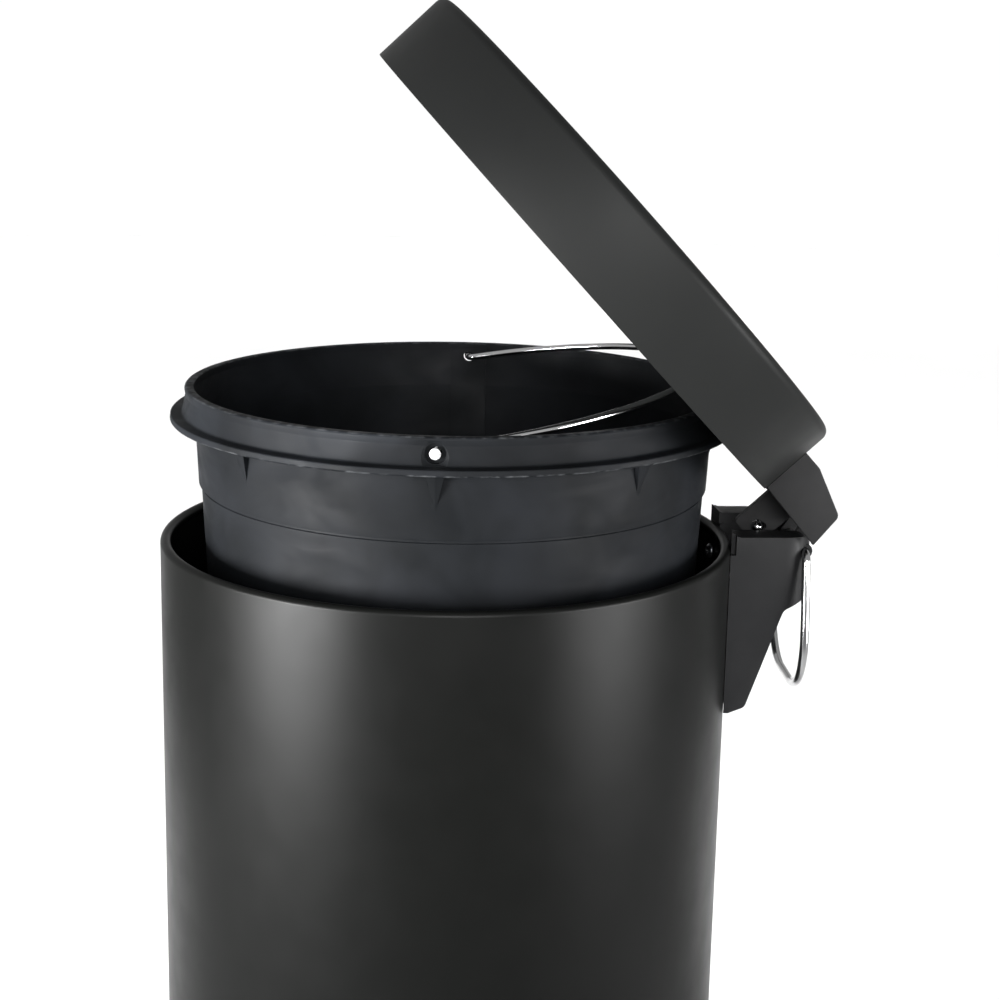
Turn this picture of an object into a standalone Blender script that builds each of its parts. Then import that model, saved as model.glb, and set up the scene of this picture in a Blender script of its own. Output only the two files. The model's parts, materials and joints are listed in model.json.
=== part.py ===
"""Round pedal trash can: steel body and lid, lift-out bucket, foot pedal linkage and rear hinge.

Metres, +Z up, front (pedal side) towards -Y, hinge axis parallel to X.
The origin is on the body's axis, on the floor. The lid stands open and the bucket is half lifted.
"""

import math

import bmesh
import bpy
from mathutils import Matrix, Vector

# Body and lid
BODY_RADIUS = 0.125
RIM_Z = 0.350  # top of the body's rolled rim
STEEL = 0.0008  # sheet thickness of body and floor
RIM_ROLL = 0.0023  # radius of the rolled rim
LID_RADIUS = 0.1236
LID_STEEL = 0.0007
LID_SKIRT = 0.0365
LID_DOME = 0.0028
LID_SHOULDER = 0.0042
LID_SEAT = 0.0032  # closed lid's lower edge above the rim
LID_OPEN = math.radians(47.0)
GAP = 0.0003  # clearance between touching pieces

# Hinge
HINGE_Y = 0.155
HINGE_Z = RIM_Z - 0.0022
PIN_RADIUS = 0.00175
HOUSING_HALF_WIDTH = 0.029
HOUSING_WALL = 0.002
HOUSING_REAR_Y = 0.1586
HOUSING_CORNER = 0.0125
CHEEK_X = (0.0085, 0.0115)  # lid bracket's inner plates
BOSS_RADIUS = 0.0036
SLOT_HALF_WIDTH = 0.0160  # slot in the housing's roof for the lid's arm
WEB = 0.0022
BRACKET_SCREW_ANGLE = math.radians(9.5)
BRACKET_SCREW_Z = 0.0160
SCREW_RADIUS = 0.0014
BORE_RADIUS = 0.0018
HOLE_RADIUS = 0.0019

# Push rod and pedal
ROD_RADIUS = 0.0016
ARM = 0.0200  # hinge axis to rod hook
ARM_OPEN = math.radians(24.3)  # arm above level with the lid open
ROD_Y = HINGE_Y - 0.0191
ROD_LOW_Y = 0.1165
ROD_END = 0.0131  # the hook's end, past the lid's arm
HOOK_Z = HINGE_Z + ARM * math.sin(ARM_OPEN)
ROD_TRAVEL = ARM * (math.sin(ARM_OPEN) + math.sin(LID_OPEN - ARM_OPEN))
LEVER_Y = 0.020
LEVER_Z = 0.030
LEVER_REACH = ROD_LOW_Y - LEVER_Y
LEVER_SWING = 2 * math.asin(ROD_TRAVEL / 2 / LEVER_REACH)
LEVER_TILT = LEVER_SWING / 2  # rear end up while the lid is open
STRAP = 0.0025
STRAP_HALF_WIDTH = 0.010
PEDAL_FRONT = 0.1885  # lever axis to the pedal's front edge
FLOOR_Z = 0.050

# Bucket
BUCKET_LIFT = 0.052  # flange above the rim
BUCKET_DRIFT = 0.0025  # the lifted bucket leans this far to the rear
BUCKET_TURN = math.radians(-6.0)
BUCKET_WALL = 0.002
BUCKET_DEPTH = 0.286
FLANGE_RADIUS = 0.1225
COLLAR_RADIUS = 0.1163
COLLAR_HEIGHT = 0.0143
LUG_Z = 0.0078  # lug axis above the flange's underside
BAIL_RADIUS = 0.0015
BAIL_HALF_WIDTH = 0.1072
BAIL_REACH = 0.1060
BAIL_TILT = math.radians(9.5)
BAIL_HEAD = 0.00225

# Carry handle
HANDLE_RADIUS = 0.0019
HANDLE_TIP = 0.0200
HANDLE_TOP = 0.0292
HANDLE_KNEE = (0.0342, 0.0310)  # half width, and depth under the axis
HANDLE_LOW = (0.0355, 0.0637)
HANDLE_CORNER = 0.0245

ROUND_STEPS = 64
Z_AXIS = Vector((0, 0, 1))


def collection(name):
    made = bpy.data.collections.new(name)
    bpy.context.scene.collection.children.link(made)
    return made


def clear_scene():
    for obj in list(bpy.data.objects):
        bpy.data.objects.remove(obj, do_unlink=True)


clear_scene()
PARTS = collection("pedal_trash_can")
CUTTERS = collection("cutters")


def material(name, colour, roughness, metallic=0.0):
    made = bpy.data.materials.new(name)
    made.use_nodes = True
    shader = made.node_tree.nodes["Principled BSDF"]
    shader.inputs["Base Color"].default_value = (*colour, 1)
    shader.inputs["Roughness"].default_value = roughness
    shader.inputs["Metallic"].default_value = metallic
    made.diffuse_color = (*colour, 1)
    return made


PAINT = material("charcoal_paint", (0.030, 0.031, 0.030), 0.38)
BLACK_PLASTIC = material("black_plastic", (0.020, 0.021, 0.023), 0.45)
BUCKET_PLASTIC = material("bucket_plastic", (0.016, 0.019, 0.022), 0.34)
CHROME = material("chrome", (0.78, 0.78, 0.80), 0.10, 1.0)
ZINC = material("zinc_steel", (0.55, 0.55, 0.56), 0.32, 1.0)
RUBBER = material("rubber", (0.014, 0.014, 0.014), 0.80)


# ---- modelling helpers -------------------------------------------------------


def link(obj, mat, parent=None):
    PARTS.objects.link(obj)
    obj.data.materials.clear()
    obj.data.materials.append(mat)
    obj.parent = parent
    return obj


def as_cutter(obj):
    CUTTERS.objects.link(obj)
    obj.hide_render = True
    obj.display_type = "WIRE"
    return obj


def new_object(name, mesh):
    return bpy.data.objects.new(name, mesh)


def smooth(obj, degrees=35):
    obj.data.shade_smooth()
    obj.data.set_sharp_from_angle(angle=math.radians(degrees))


def box(name, low, high):
    """A box between two opposite corners."""
    low, high = Vector(low), Vector(high)
    bm = bmesh.new()
    size = Matrix.Diagonal((*(high - low), 1))
    bmesh.ops.create_cube(bm, size=1, matrix=Matrix.Translation((low + high) / 2) @ size)
    mesh = bpy.data.meshes.new(name)
    bm.to_mesh(mesh)
    bm.free()
    return new_object(name, mesh)


def rod_between(name, start, end, radius, segments=20, end_radius=None):
    """A cylinder, or a cone, from one point to another."""
    start, end = Vector(start), Vector(end)
    along = end - start
    turn = Z_AXIS.rotation_difference(along.normalized()).to_matrix().to_4x4()
    bm = bmesh.new()
    bmesh.ops.create_cone(
        bm,
        cap_ends=True,
        segments=segments,
        radius1=radius,
        radius2=radius if end_radius is None else end_radius,
        depth=along.length,
        matrix=Matrix.Translation((start + end) / 2) @ turn,
    )
    mesh = bpy.data.meshes.new(name)
    bm.to_mesh(mesh)
    bm.free()
    return new_object(name, mesh)


def turned(name, profile, steps=ROUND_STEPS, closed=True):
    """A profile of (radius, height) points turned about Z, going down its outer side."""
    mesh = bpy.data.meshes.new(name)
    count = len(profile)
    edges = [(i, i + 1) for i in range(count - 1)]
    if closed:
        edges.append((count - 1, 0))
    mesh.from_pydata([(r, 0, z) for r, z in profile], edges, [])
    obj = new_object(name, mesh)
    screw = obj.modifiers.new("turn", "SCREW")
    screw.steps = screw.render_steps = steps
    screw.use_merge_vertices = True
    screw.merge_threshold = 0.00001
    return obj


def arc(centre, radius, start, end, count=6):
    """Points on an arc in two dimensions, angles in degrees."""
    points = []
    for i in range(count):
        angle = math.radians(start + (end - start) * i / (count - 1))
        x = centre[0] + radius * math.cos(angle)
        y = centre[1] + radius * math.sin(angle)
        points.append((x, y))
    return points


def baked(obj):
    """The evaluated object as a plain mesh in world coordinates, its loose caps welded."""
    bpy.context.scene.collection.objects.link(obj)
    bpy.context.view_layer.update()
    graph = bpy.context.evaluated_depsgraph_get()
    mesh = bpy.data.meshes.new_from_object(obj.evaluated_get(graph))
    bm = bmesh.new()
    bm.from_mesh(mesh)
    bmesh.ops.remove_doubles(bm, verts=bm.verts, dist=0.00001)
    bm.to_mesh(mesh)
    bm.free()
    mesh.transform(obj.matrix_world)
    made = new_object(obj.name + "_solid", mesh)
    bpy.data.objects.remove(obj, do_unlink=True)
    return made


def plate(name, outline, low, high, axis="X"):
    """A flat outline made solid between two offsets along X or Z.

    Along X the outline holds (y, z) points, and along Z it holds (x, y) points.
    """
    curve = bpy.data.curves.new(name, "CURVE")
    curve.dimensions = "2D"
    curve.fill_mode = "BOTH"
    curve.extrude = (high - low) / 2
    spline = curve.splines.new("POLY")
    spline.points.add(len(outline) - 1)
    for point, (x, y) in zip(spline.points, outline):
        point.co = (x, y, 0, 1)
    spline.use_cyclic_u = True
    flat = new_object(name, curve)
    middle = (low + high) / 2
    if axis == "X":
        flat.matrix_world = Matrix(((0, 0, 1, middle), (1, 0, 0, 0), (0, 1, 0, 0), (0, 0, 0, 1)))
    else:
        flat.matrix_world = Matrix.Translation((0, 0, middle))
    return baked(flat)


def wire(name, points, radius, bevel_resolution=2):
    """A round wire along a polyline."""
    curve = bpy.data.curves.new(name, "CURVE")
    curve.dimensions = "3D"
    curve.bevel_depth = radius
    curve.bevel_resolution = bevel_resolution
    curve.use_fill_caps = True
    spline = curve.splines.new("POLY")
    spline.points.add(len(points) - 1)
    for point, place in zip(spline.points, points):
        point.co = (*place, 1)
    return new_object(name, curve)


def bent(corners, radii, count=6):
    """A route through the corners, with each inner corner rounded to its bend radius."""
    corners = [Vector(c) for c in corners]
    route = [corners[0]]
    for before, corner, after, radius in zip(corners, corners[1:], corners[2:], radii):
        into = (before - corner).normalized()
        out = (after - corner).normalized()
        half = into.angle(out) / 2
        centre = corner + (into + out).normalized() * (radius / math.sin(half))
        start = corner + into * (radius / math.tan(half))
        normal = into.cross(out).normalized()
        sweep = -(math.pi - 2 * half)
        for i in range(count):
            turn = Matrix.Rotation(sweep * i / (count - 1), 3, normal)
            route.append(centre + turn @ (start - centre))
    route.append(corners[-1])
    return route


def boolean(obj, other, operation="DIFFERENCE"):
    """Cuts the other object from this one, or joins it. Both are drawn in this one's frame."""
    as_cutter(other)
    other.parent = obj
    step = obj.modifiers.new(operation.lower(), "BOOLEAN")
    step.operation = operation
    step.object = other
    step.solver = "EXACT"
    return obj


def cut(obj, *others):
    for other in others:
        boolean(obj, other)
    return obj


def join(obj, *others):
    for other in others:
        boolean(obj, other, "UNION")
    return obj


def empty(name, location, rotation_x=0.0, rotation_z=0.0, parent=None):
    made = bpy.data.objects.new(name, None)
    made.location = location
    made.rotation_euler = (rotation_x, 0, rotation_z)
    made.parent = parent
    PARTS.objects.link(made)
    return made


def around(radius, angle, z):
    """A point at this radius, at an angle from +Y towards -X."""
    return Vector((-radius * math.sin(angle), radius * math.cos(angle), z))


# ---- body --------------------------------------------------------------------


HOUSING_SCREWS = (  # (angle from the rear, height)
    (math.radians(9.7), RIM_Z - 0.0140),
    (math.radians(-9.7), RIM_Z - 0.0140),
    (0.0, RIM_Z - 0.0640),
)


def body_shell():
    outer, inner = BODY_RADIUS, BODY_RADIUS - STEEL
    roll = arc((outer - RIM_ROLL, RIM_Z - RIM_ROLL), RIM_ROLL, 225, 0, 8)
    bottom = 0.0085
    profile = roll + [(outer, bottom), (inner, bottom), (inner, RIM_Z - 0.0058)]
    shell = turned("body_shell", profile)
    rear = BODY_RADIUS + 0.01
    rod_slot = box("rod_slot", (-0.004, 0.11, RIM_Z - 0.052), (0.004, rear, RIM_Z - 0.021))
    cut(shell, rod_slot, pedal_way())
    for angle, z in HOUSING_SCREWS:
        hole = rod_between("screw_hole", around(0.11, angle, z), around(rear, angle, z), HOLE_RADIUS, 12)
        cut(shell, hole)
    smooth(shell)
    return link(shell, PAINT)


def pedal_way():
    """The slot at the front that the pedal lever rises and sinks in."""
    half, low, high = 0.0145, 0.0120, 0.0465
    return box("pedal_way", (-half, -BODY_RADIUS - 0.01, low), (half, -0.11, high))


def body_floor():
    outer = BODY_RADIUS - STEEL - GAP
    low = FLOOR_Z - 0.010
    profile = [
        (0, FLOOR_Z),
        (outer - 0.002, FLOOR_Z),
        (outer, FLOOR_Z - 0.002),
        (outer, low),
        (outer - STEEL, low),
        (outer - STEEL, FLOOR_Z - 0.002 - STEEL / 2),
        (outer - 0.002 - STEEL / 2, FLOOR_Z - STEEL),
        (0, FLOOR_Z - STEEL),
    ]
    floor = turned("body_floor", profile, closed=False)
    notch = box("rod_notch", (-0.009, 0.1115, low - 0.01), (0.009, 0.13, FLOOR_Z + 0.01))
    cut(floor, notch, pedal_way())
    smooth(floor)
    return link(floor, ZINC)


def base_pan():
    """The plastic base: a shallow dish with two bearing posts for the lever's pin."""
    under, plate_top = 0.0020, 0.0050
    lip = BODY_RADIUS + 0.0006
    wall = BODY_RADIUS - STEEL - GAP
    profile = [
        (0, plate_top),
        (wall - 0.0025, plate_top),
        (wall - 0.0025, 0.0140),
        (wall, 0.0140),
        (wall, 0.0082),
        (lip, 0.0082),
        (lip, 0.0035),
        (lip - 0.0015, under),
        (0, under),
    ]
    pan = turned("base_pan", profile, closed=False)
    for side in (-1, 1):
        outline = [(LEVER_Y - 0.012, 0.003), (LEVER_Y + 0.012, 0.003)]
        outline += arc((LEVER_Y, LEVER_Z), 0.0065, 0, 180, 9)
        near, far = sorted((side * 0.0130, side * 0.0190))
        post = plate("post", outline, near, far)
        join(pan, post)
    hole = rod_between("pin_hole", (-0.03, LEVER_Y, LEVER_Z), (0.03, LEVER_Y, LEVER_Z), 0.0033)
    cut(pan, hole)
    smooth(pan)
    return link(pan, BLACK_PLASTIC)


def feet():
    for index in range(4):
        place = around(0.104, math.radians(45 + 90 * index), 0)
        top = place + Vector((0, 0, 0.0017))
        foot = rod_between(f"foot_{index + 1}", place, top, 0.010, 24)
        link(foot, RUBBER)


def rod_guide():
    """A strap welded to the inner wall, with an eye for the push rod."""
    z = 0.200
    wall = BODY_RADIUS - STEEL - GAP
    outline = arc((0, 0), wall, 81.5, 98.5, 6)
    outline += [(-0.018, 0.1205), (-0.006, 0.1190), (-0.0045, 0.1125)]
    outline += [(0.0045, 0.1125), (0.006, 0.1190), (0.018, 0.1205)]
    guide = plate("strap", outline, z - 0.006, z + 0.006, "Z")
    guide.name = "rod_guide"
    eye = rod_between("eye", (0, ROD_LOW_Y, z - 0.02), (0, ROD_LOW_Y, z + 0.02), ROD_RADIUS + 0.0004)
    cut(guide, eye)
    return link(guide, ZINC)


# ---- pedal linkage -----------------------------------------------------------


def lever_pin():
    ends = [(x, LEVER_Y, LEVER_Z) for x in (-0.0205, 0.0205)]
    pin = rod_between("lever_pin", *ends, 0.0030)
    smooth(pin)
    return link(pin, ZINC)


def pedal_outline():
    """The lever's plan: a narrow strap with a wide, round-cornered pedal at its front."""
    half, plate_half, front = STRAP_HALF_WIDTH, 0.0200, -(PEDAL_FRONT - 0.0035)
    neck = front + 0.030
    corner = 0.008
    right = [(half, 0.0850), (half, neck + 0.006), (plate_half, neck)]
    right += arc((plate_half - corner, front + corner), corner, 0, -90, 5)
    return right + [(-x, y) for x, y in reversed(right)]


def pedal_lever(parent):
    lever = plate("strap", pedal_outline(), -STRAP / 2, STRAP / 2, "Z")
    lever.name = "pedal_lever"
    hub = rod_between("hub", (-STRAP_HALF_WIDTH, 0, 0), (STRAP_HALF_WIDTH, 0, 0), 0.0058)
    ear = box("rod_ear", (0.0040, 0.0780, -0.0060), (0.0065, 0.1035, 0.0060))
    join(lever, hub, ear)
    bore = rod_between("hub_bore", (-0.02, 0, 0), (0.02, 0, 0), 0.0033)
    cut(lever, bore)
    slot = box("hook_slot", (0.001, LEVER_REACH - 0.0030, -0.0020), (0.009, LEVER_REACH + 0.0030, 0.0020))
    cut(lever, slot)
    smooth(lever)
    return link(lever, ZINC, parent)


def pedal_pad(parent):
    """The plastic shoe that covers the pedal plate."""
    front, rear = -PEDAL_FRONT, -(PEDAL_FRONT - 0.0330)
    pad = box("pedal_pad", (-0.0245, front, -0.0050), (0.0245, rear, 0.0060))
    edge = pad.modifiers.new("round", "BEVEL")
    edge.width = 0.0032
    edge.segments = 3
    side, back = 0.0200 + GAP, rear + 0.01
    pocket = box("pocket", (-side, front + 0.0032, -STRAP / 2 - GAP), (side, back, STRAP / 2 + GAP))
    cut(pad, pocket)
    smooth(pad)
    return link(pad, BLACK_PLASTIC, parent)


def push_rod(parent):
    """A bent wire: hooked into the lid bracket above and into the lever's ear below."""
    low = LEVER_Z + LEVER_REACH * math.sin(LEVER_TILT)
    jog_top = HOOK_Z - 0.0215
    step_in = ROD_Y - ROD_LOW_Y
    corners = [
        (ROD_END, ROD_Y, HOOK_Z),
        (0, ROD_Y, HOOK_Z),
        (0, ROD_Y, jog_top),
        (0, ROD_LOW_Y, jog_top - step_in * 1.1),
        (0, ROD_LOW_Y, low),
        (0.0095, ROD_LOW_Y, low),
    ]
    origin = Vector((0, ROD_Y, HOOK_Z))
    route = [point - origin for point in bent(corners, [0.0035] * 4)]
    return link(wire("push_rod", route, ROD_RADIUS), ZINC, parent)


def rod_cap(parent):
    """A push-on domed cap that keeps the hook in the bracket."""
    outer, socket = 0.0024, ROD_RADIUS + GAP
    dome = arc((0, 0), outer, 90, 0, 6)
    dome[0] = (0, outer)
    profile = dome + [(outer, -0.0014), (socket, -0.0014), (socket, 0.0004), (0, 0.0004)]
    cap = turned("rod_cap", profile, 20, closed=False)
    cap.location = (ROD_END, 0, 0)
    cap.rotation_euler = (0, math.pi / 2, 0)
    smooth(cap)
    return link(cap, CHROME, parent)


# ---- rear hinge --------------------------------------------------------------


def housing_side(inset):
    """The housing's side view as (y, z), shrunk by an inset."""
    rear = HOUSING_REAR_Y - inset
    high = RIM_Z + 0.0050 - inset
    corner = 0.0068 - inset
    step_z = RIM_Z - 0.0224 + inset
    outline = [(0.1100, high), (0.1216, high + 0.0020), (0.1255, high)]
    outline += arc((rear - corner, high - corner), corner, 90, 0, 6)
    outline += [
        (rear, step_z),
        (0.1464 - inset, step_z - 0.0054),
        (0.1312 - inset, RIM_Z - 0.0722 + inset),
        (0.1240, RIM_Z - 0.0750 + inset),
        (0.1100, RIM_Z - 0.0750 + inset),
    ]
    return outline


def housing_plan(inset):
    """The housing's plan as (x, y): straight sides with rounded rear corners."""
    half = HOUSING_HALF_WIDTH - inset
    rear = HOUSING_REAR_Y - inset
    corner = HOUSING_CORNER - inset
    right = [(half, 0.1100)] + arc((half - corner, rear - corner), corner, 0, 90, 7)
    return right + [(-x, y) for x, y in reversed(right)]


def housing_block(name, inset=0.0):
    low, high = RIM_Z - 0.10, RIM_Z + 0.04
    block = plate(name, housing_side(inset), -0.04, 0.04)
    boolean(block, plate(name + "_plan", housing_plan(inset), low, high, "Z"), "INTERSECT")
    return block


def bored_boss(z, angle):
    """A screw boss behind the housing's back plate."""
    return rod_between("screw_boss", around(0.1262, angle, z), around(0.1340, angle, z), 0.0034, 16)


def housing_hollow():
    """The space inside the housing, less the skin against the can and a web at each side of the arm."""
    hollow = housing_block("hollow", HOUSING_WALL)
    skin_radius = BODY_RADIUS + GAP + 0.0022
    cut(hollow, rod_between("skin", (0, 0, 0.2), (0, 0, 0.42), skin_radius, 80))
    for side in (-1, 1):
        near, far = sorted((side * SLOT_HALF_WIDTH, side * (SLOT_HALF_WIDTH + WEB)))
        cut(hollow, box("web", (near, 0.11, RIM_Z - 0.0300), (far, 0.17, RIM_Z + 0.02)))
    return baked(hollow)


def hinge_housing():
    """A moulded housing with a roof, a slot through it for the lid's arm, and bosses for the hinge."""
    housing = housing_block("housing")
    housing.name = "hinge_housing"
    cut(housing, housing_hollow())
    for angle, z in HOUSING_SCREWS:
        join(housing, bored_boss(z, angle))
    for side in (-1, 1):
        start = (side * (SLOT_HALF_WIDTH + 0.0005), HINGE_Y, HINGE_Z)
        end = (side * 0.0245, HINGE_Y, HINGE_Z)
        join(housing, rod_between("pin_boss", start, end, BOSS_RADIUS, 24))
    can = rod_between("can", (0, 0, 0.2), (0, 0, 0.42), BODY_RADIUS + GAP, 80)
    window = box("arm_window", (-0.0145, 0.11, RIM_Z - 0.0580), (0.0145, 0.1300, RIM_Z + 0.02))
    slot = SLOT_HALF_WIDTH
    roof_slot = box("roof_slot", (-slot, 0.12, RIM_Z), (slot, 0.1510, RIM_Z + 0.02))
    lug_gap = box("lug_gap", (-slot, 0.1500, HINGE_Z - 0.0070), (slot, 0.1700, RIM_Z + 0.03))
    axle = rod_between(
        "axle_hole", (-0.04, HINGE_Y, HINGE_Z), (0.04, HINGE_Y, HINGE_Z), HANDLE_RADIUS + GAP, 20
    )
    cut(housing, can, window, roof_slot, lug_gap, axle)
    for angle, z in HOUSING_SCREWS:
        bore = rod_between("screw_bore", around(0.120, angle, z), around(0.1330, angle, z), BORE_RADIUS, 12)
        cut(housing, bore)
    smooth(housing, 30)
    return link(housing, BLACK_PLASTIC)


def hinge_pin():
    ends = [(x, HINGE_Y, HINGE_Z) for x in (-0.0195, 0.0195)]
    pin = rod_between("hinge_pin", *ends, PIN_RADIUS)
    smooth(pin)
    return link(pin, ZINC)


def screw(name, inner, outward, length, parent=None):
    """A pan-head screw whose head's flat face is at a point, driven along a direction."""
    head, thick = 0.0034, 0.0019
    profile = [(0, thick), (head * 0.6, thick)]
    profile += [(head * 0.92, thick * 0.72), (head, 0.0005), (head, 0), (SCREW_RADIUS, 0)]
    profile += [(SCREW_RADIUS, -length + 0.0015), (0.0004, -length), (0, -length)]
    made = turned(name, profile, 20, closed=False)
    made.location = inner
    made.rotation_mode = "QUATERNION"
    made.rotation_quaternion = (-Vector(outward)).to_track_quat("Z", "X")
    smooth(made)
    return link(made, ZINC, parent)


def housing_screws():
    for index, (angle, z) in enumerate(HOUSING_SCREWS):
        seat = around(BODY_RADIUS - STEEL - 2 * GAP, angle, z)
        screw(f"housing_screw_{index + 1}", seat, around(1, angle, 0), 0.0080)


# ---- lid ---------------------------------------------------------------------


def lid_frame_point(x, y, z):
    """A point of the closed lid, given about the body's axis and above the rim."""
    return Vector((x, y - HINGE_Y, RIM_Z + z - HINGE_Z))


def lid_shell(parent):
    top = LID_SEAT + LID_SKIRT
    radius, wall, shoulder = LID_RADIUS, LID_STEEL, LID_SHOULDER

    def crown(r, drop):
        """Height of the domed top at a radius."""
        flat = radius - shoulder
        return top + LID_DOME * (1 - (r / flat) ** 2) - drop

    flat = radius - shoulder
    rings = [flat * k / 3 for k in range(3)]
    profile = [(r, crown(r, 0)) for r in rings]
    profile += arc((flat, top - shoulder), shoulder, 90, 0, 5)
    profile += [(radius, LID_SEAT), (radius - wall, LID_SEAT)]
    profile += arc((flat, top - shoulder), shoulder - wall, 0, 90, 5)
    profile += [(r, crown(r, wall)) for r in reversed(rings)]
    lid = turned("lid_shell", profile, closed=False)
    for side in (-1, 1):
        angle = side * BRACKET_SCREW_ANGLE
        z = BRACKET_SCREW_Z
        hole = rod_between("hole", around(0.11, angle, z), around(0.13, angle, z), HOLE_RADIUS, 12)
        cut(lid, hole)
    lid.location = lid_frame_point(0, 0, 0)
    smooth(lid)
    return link(lid, PAINT, parent)


def cheek_lug():
    """The rear end of an inner plate, which turns on the hinge pin."""
    lug = [(0.1496, 0.0036)]
    lug += arc((HINGE_Y, HINGE_Z - RIM_Z), 0.0040, 172, 405, 12)
    return lug + [(0.1505, 0.0080), (0.1505, 0.0180)]


def cheek_outline(side):
    """An inner plate, as (y, height above the rim). The +X one drops down as the arm for the rod's hook."""
    if side < 0:
        return [(0.1430, 0.0205), (0.1430, 0.0036)] + cheek_lug()
    arm = [(0.1278, 0.0250)]
    arm += arc((0.1296, -0.0144), 0.0018, 180, 270, 4)
    arm += [(0.1400, -0.0162), (0.1430, -0.0128), (0.1430, 0.0036)]
    return arm + cheek_lug() + [(0.1290, 0.0250)]


def lid_bracket(parent):
    """The hood behind the lid: an open-bottomed cap with two cheeks inside."""
    half, wall = 0.0317, 0.0020
    side_view = [(0.1120, 0.0044), (0.1120, 0.0266), (0.1290, 0.0264), (0.1512, 0.0190), (0.1533, 0.0024)]
    hood = plate("hood", side_view, -half, half)
    hood.name = "lid_bracket"
    cavity_outline = [
        (0.1262, -0.01),
        (0.1262, 0.0246),
        (0.1288, 0.0244),
        (0.1492, 0.0176),
        (0.1510, -0.01),
    ]
    cavity = plate("cavity", cavity_outline, -half + wall, half - wall)
    cut(hood, cavity)
    for side in (-1, 1):
        near, far = sorted((side * CHEEK_X[0], side * CHEEK_X[1]))
        join(hood, plate("cheek", cheek_outline(side), near, far))
    skirt = rod_between("skirt", (0, 0, -0.02), (0, 0, 0.06), LID_RADIUS + GAP, 80)
    cut(hood, skirt)
    clear_z = 0.0076
    front_gap = box("front_gap", (-half + wall, 0.10, 0), (half - wall, 0.1264, clear_z))
    cut(hood, front_gap)
    strips = ((-half + wall, -CHEEK_X[1]), (-CHEEK_X[0], CHEEK_X[0]), (CHEEK_X[1], half - wall))
    for left, right in strips:
        cut(hood, box("back_gap", (left, 0.1485, 0), (right, 0.16, clear_z)))
    hinge_z = HINGE_Z - RIM_Z
    axle = rod_between("axle", (-0.03, HINGE_Y, hinge_z), (0.03, HINGE_Y, hinge_z), 0.00205)
    cut(hood, axle)
    cut(hood, hook_slot())
    for side in (-1, 1):
        angle = side * BRACKET_SCREW_ANGLE
        z = BRACKET_SCREW_Z
        cut(hood, rod_between("bore", around(0.12, angle, z), around(0.135, angle, z), BORE_RADIUS, 12))
    hood.location = lid_frame_point(0, 0, 0)
    smooth(hood, 30)
    return link(hood, BLACK_PLASTIC, parent)


def hook_slot():
    """A slot along the arm for the rod's hook, which moves straight while the arm turns."""
    level = ARM_OPEN - LID_OPEN  # the arm's angle on the closed lid
    half_long, half_wide = ROD_RADIUS + 0.0018, ROD_RADIUS + 0.0008
    slot = box("hook_slot", (-0.03, -half_long, -half_wide), (0.03, half_long, half_wide))
    slot.rotation_euler = (-level, 0, 0)
    reach = ARM - 0.0004
    slot.location = (
        0,
        HINGE_Y - reach * math.cos(level),
        HINGE_Z - RIM_Z + reach * math.sin(level),
    )
    return slot


def bracket_screws(parent):
    for index, side in enumerate((1, -1)):
        angle = side * BRACKET_SCREW_ANGLE
        seat = around(LID_RADIUS - LID_STEEL - GAP, angle, BRACKET_SCREW_Z)
        place = seat + lid_frame_point(0, 0, 0)
        screw(f"bracket_screw_{index + 1}", place, around(1, angle, 0), 0.0068, parent)


# ---- bucket ------------------------------------------------------------------


def bucket_profile():
    """The bucket's section, with heights above the flange's underside."""
    wall, collar = BUCKET_WALL, COLLAR_RADIUS
    top = COLLAR_HEIGHT
    outer = [
        (collar - 0.0045, top - 0.0010),
        (collar - 0.0036, top),
        (collar - 0.0008, top),
        (collar, top - 0.0009),
        (collar - 0.0006, top - 0.0030),
        (collar + 0.0002, 0.0066),
        (collar + 0.0008, 0.0048),
        (collar + 0.0010, 0.0030),
        (FLANGE_RADIUS - 0.0006, 0.0028),
        (FLANGE_RADIUS, 0.0022),
        (FLANGE_RADIUS, 0.0006),
        (FLANGE_RADIUS - 0.0006, 0.0),
        (0.1118, 0.0),
        (0.1110, -0.0020),
        (0.1104, -0.0272),
        (0.1096, -0.0280),
        (0.1078, -0.0600),
    ]
    foot, low = 0.0950, -BUCKET_DEPTH
    outer += arc((foot - 0.010, low + 0.010), 0.010, 0, -90, 5)
    inner = [(0, low + wall), (foot - 0.010, low + wall)]
    inner += arc((foot - 0.010, low + 0.010), 0.010 - wall, -75, 0, 4)
    inner += [(0.1058, -0.0600), (0.1084, -0.0250), (0.1091, -0.0060), (0.1122, top - 0.0034)]
    return inner + outer + [(0, low)]


def gusset(angle):
    """A V-shaped rib under the flange, wide at the top and pointed below."""
    bm = bmesh.new()
    bmesh.ops.create_cube(bm, size=1)
    top, bottom = 0.0010, -0.0140
    for vert in bm.verts:
        out = vert.co.x > 0
        if vert.co.z > 0:
            half = 0.0015 if out else 0.0040
            vert.co = Vector((0.1165 if out else 0.1100, math.copysign(half, vert.co.y), top))
        else:
            half = 0.0004
            vert.co = Vector((0.1112 if out else 0.1100, math.copysign(half, vert.co.y), bottom))
    bmesh.ops.rotate(bm, verts=bm.verts, matrix=Matrix.Rotation(angle, 3, "Z"))
    mesh = bpy.data.meshes.new("gusset")
    bm.to_mesh(mesh)
    bm.free()
    return new_object("gusset", mesh)


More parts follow.
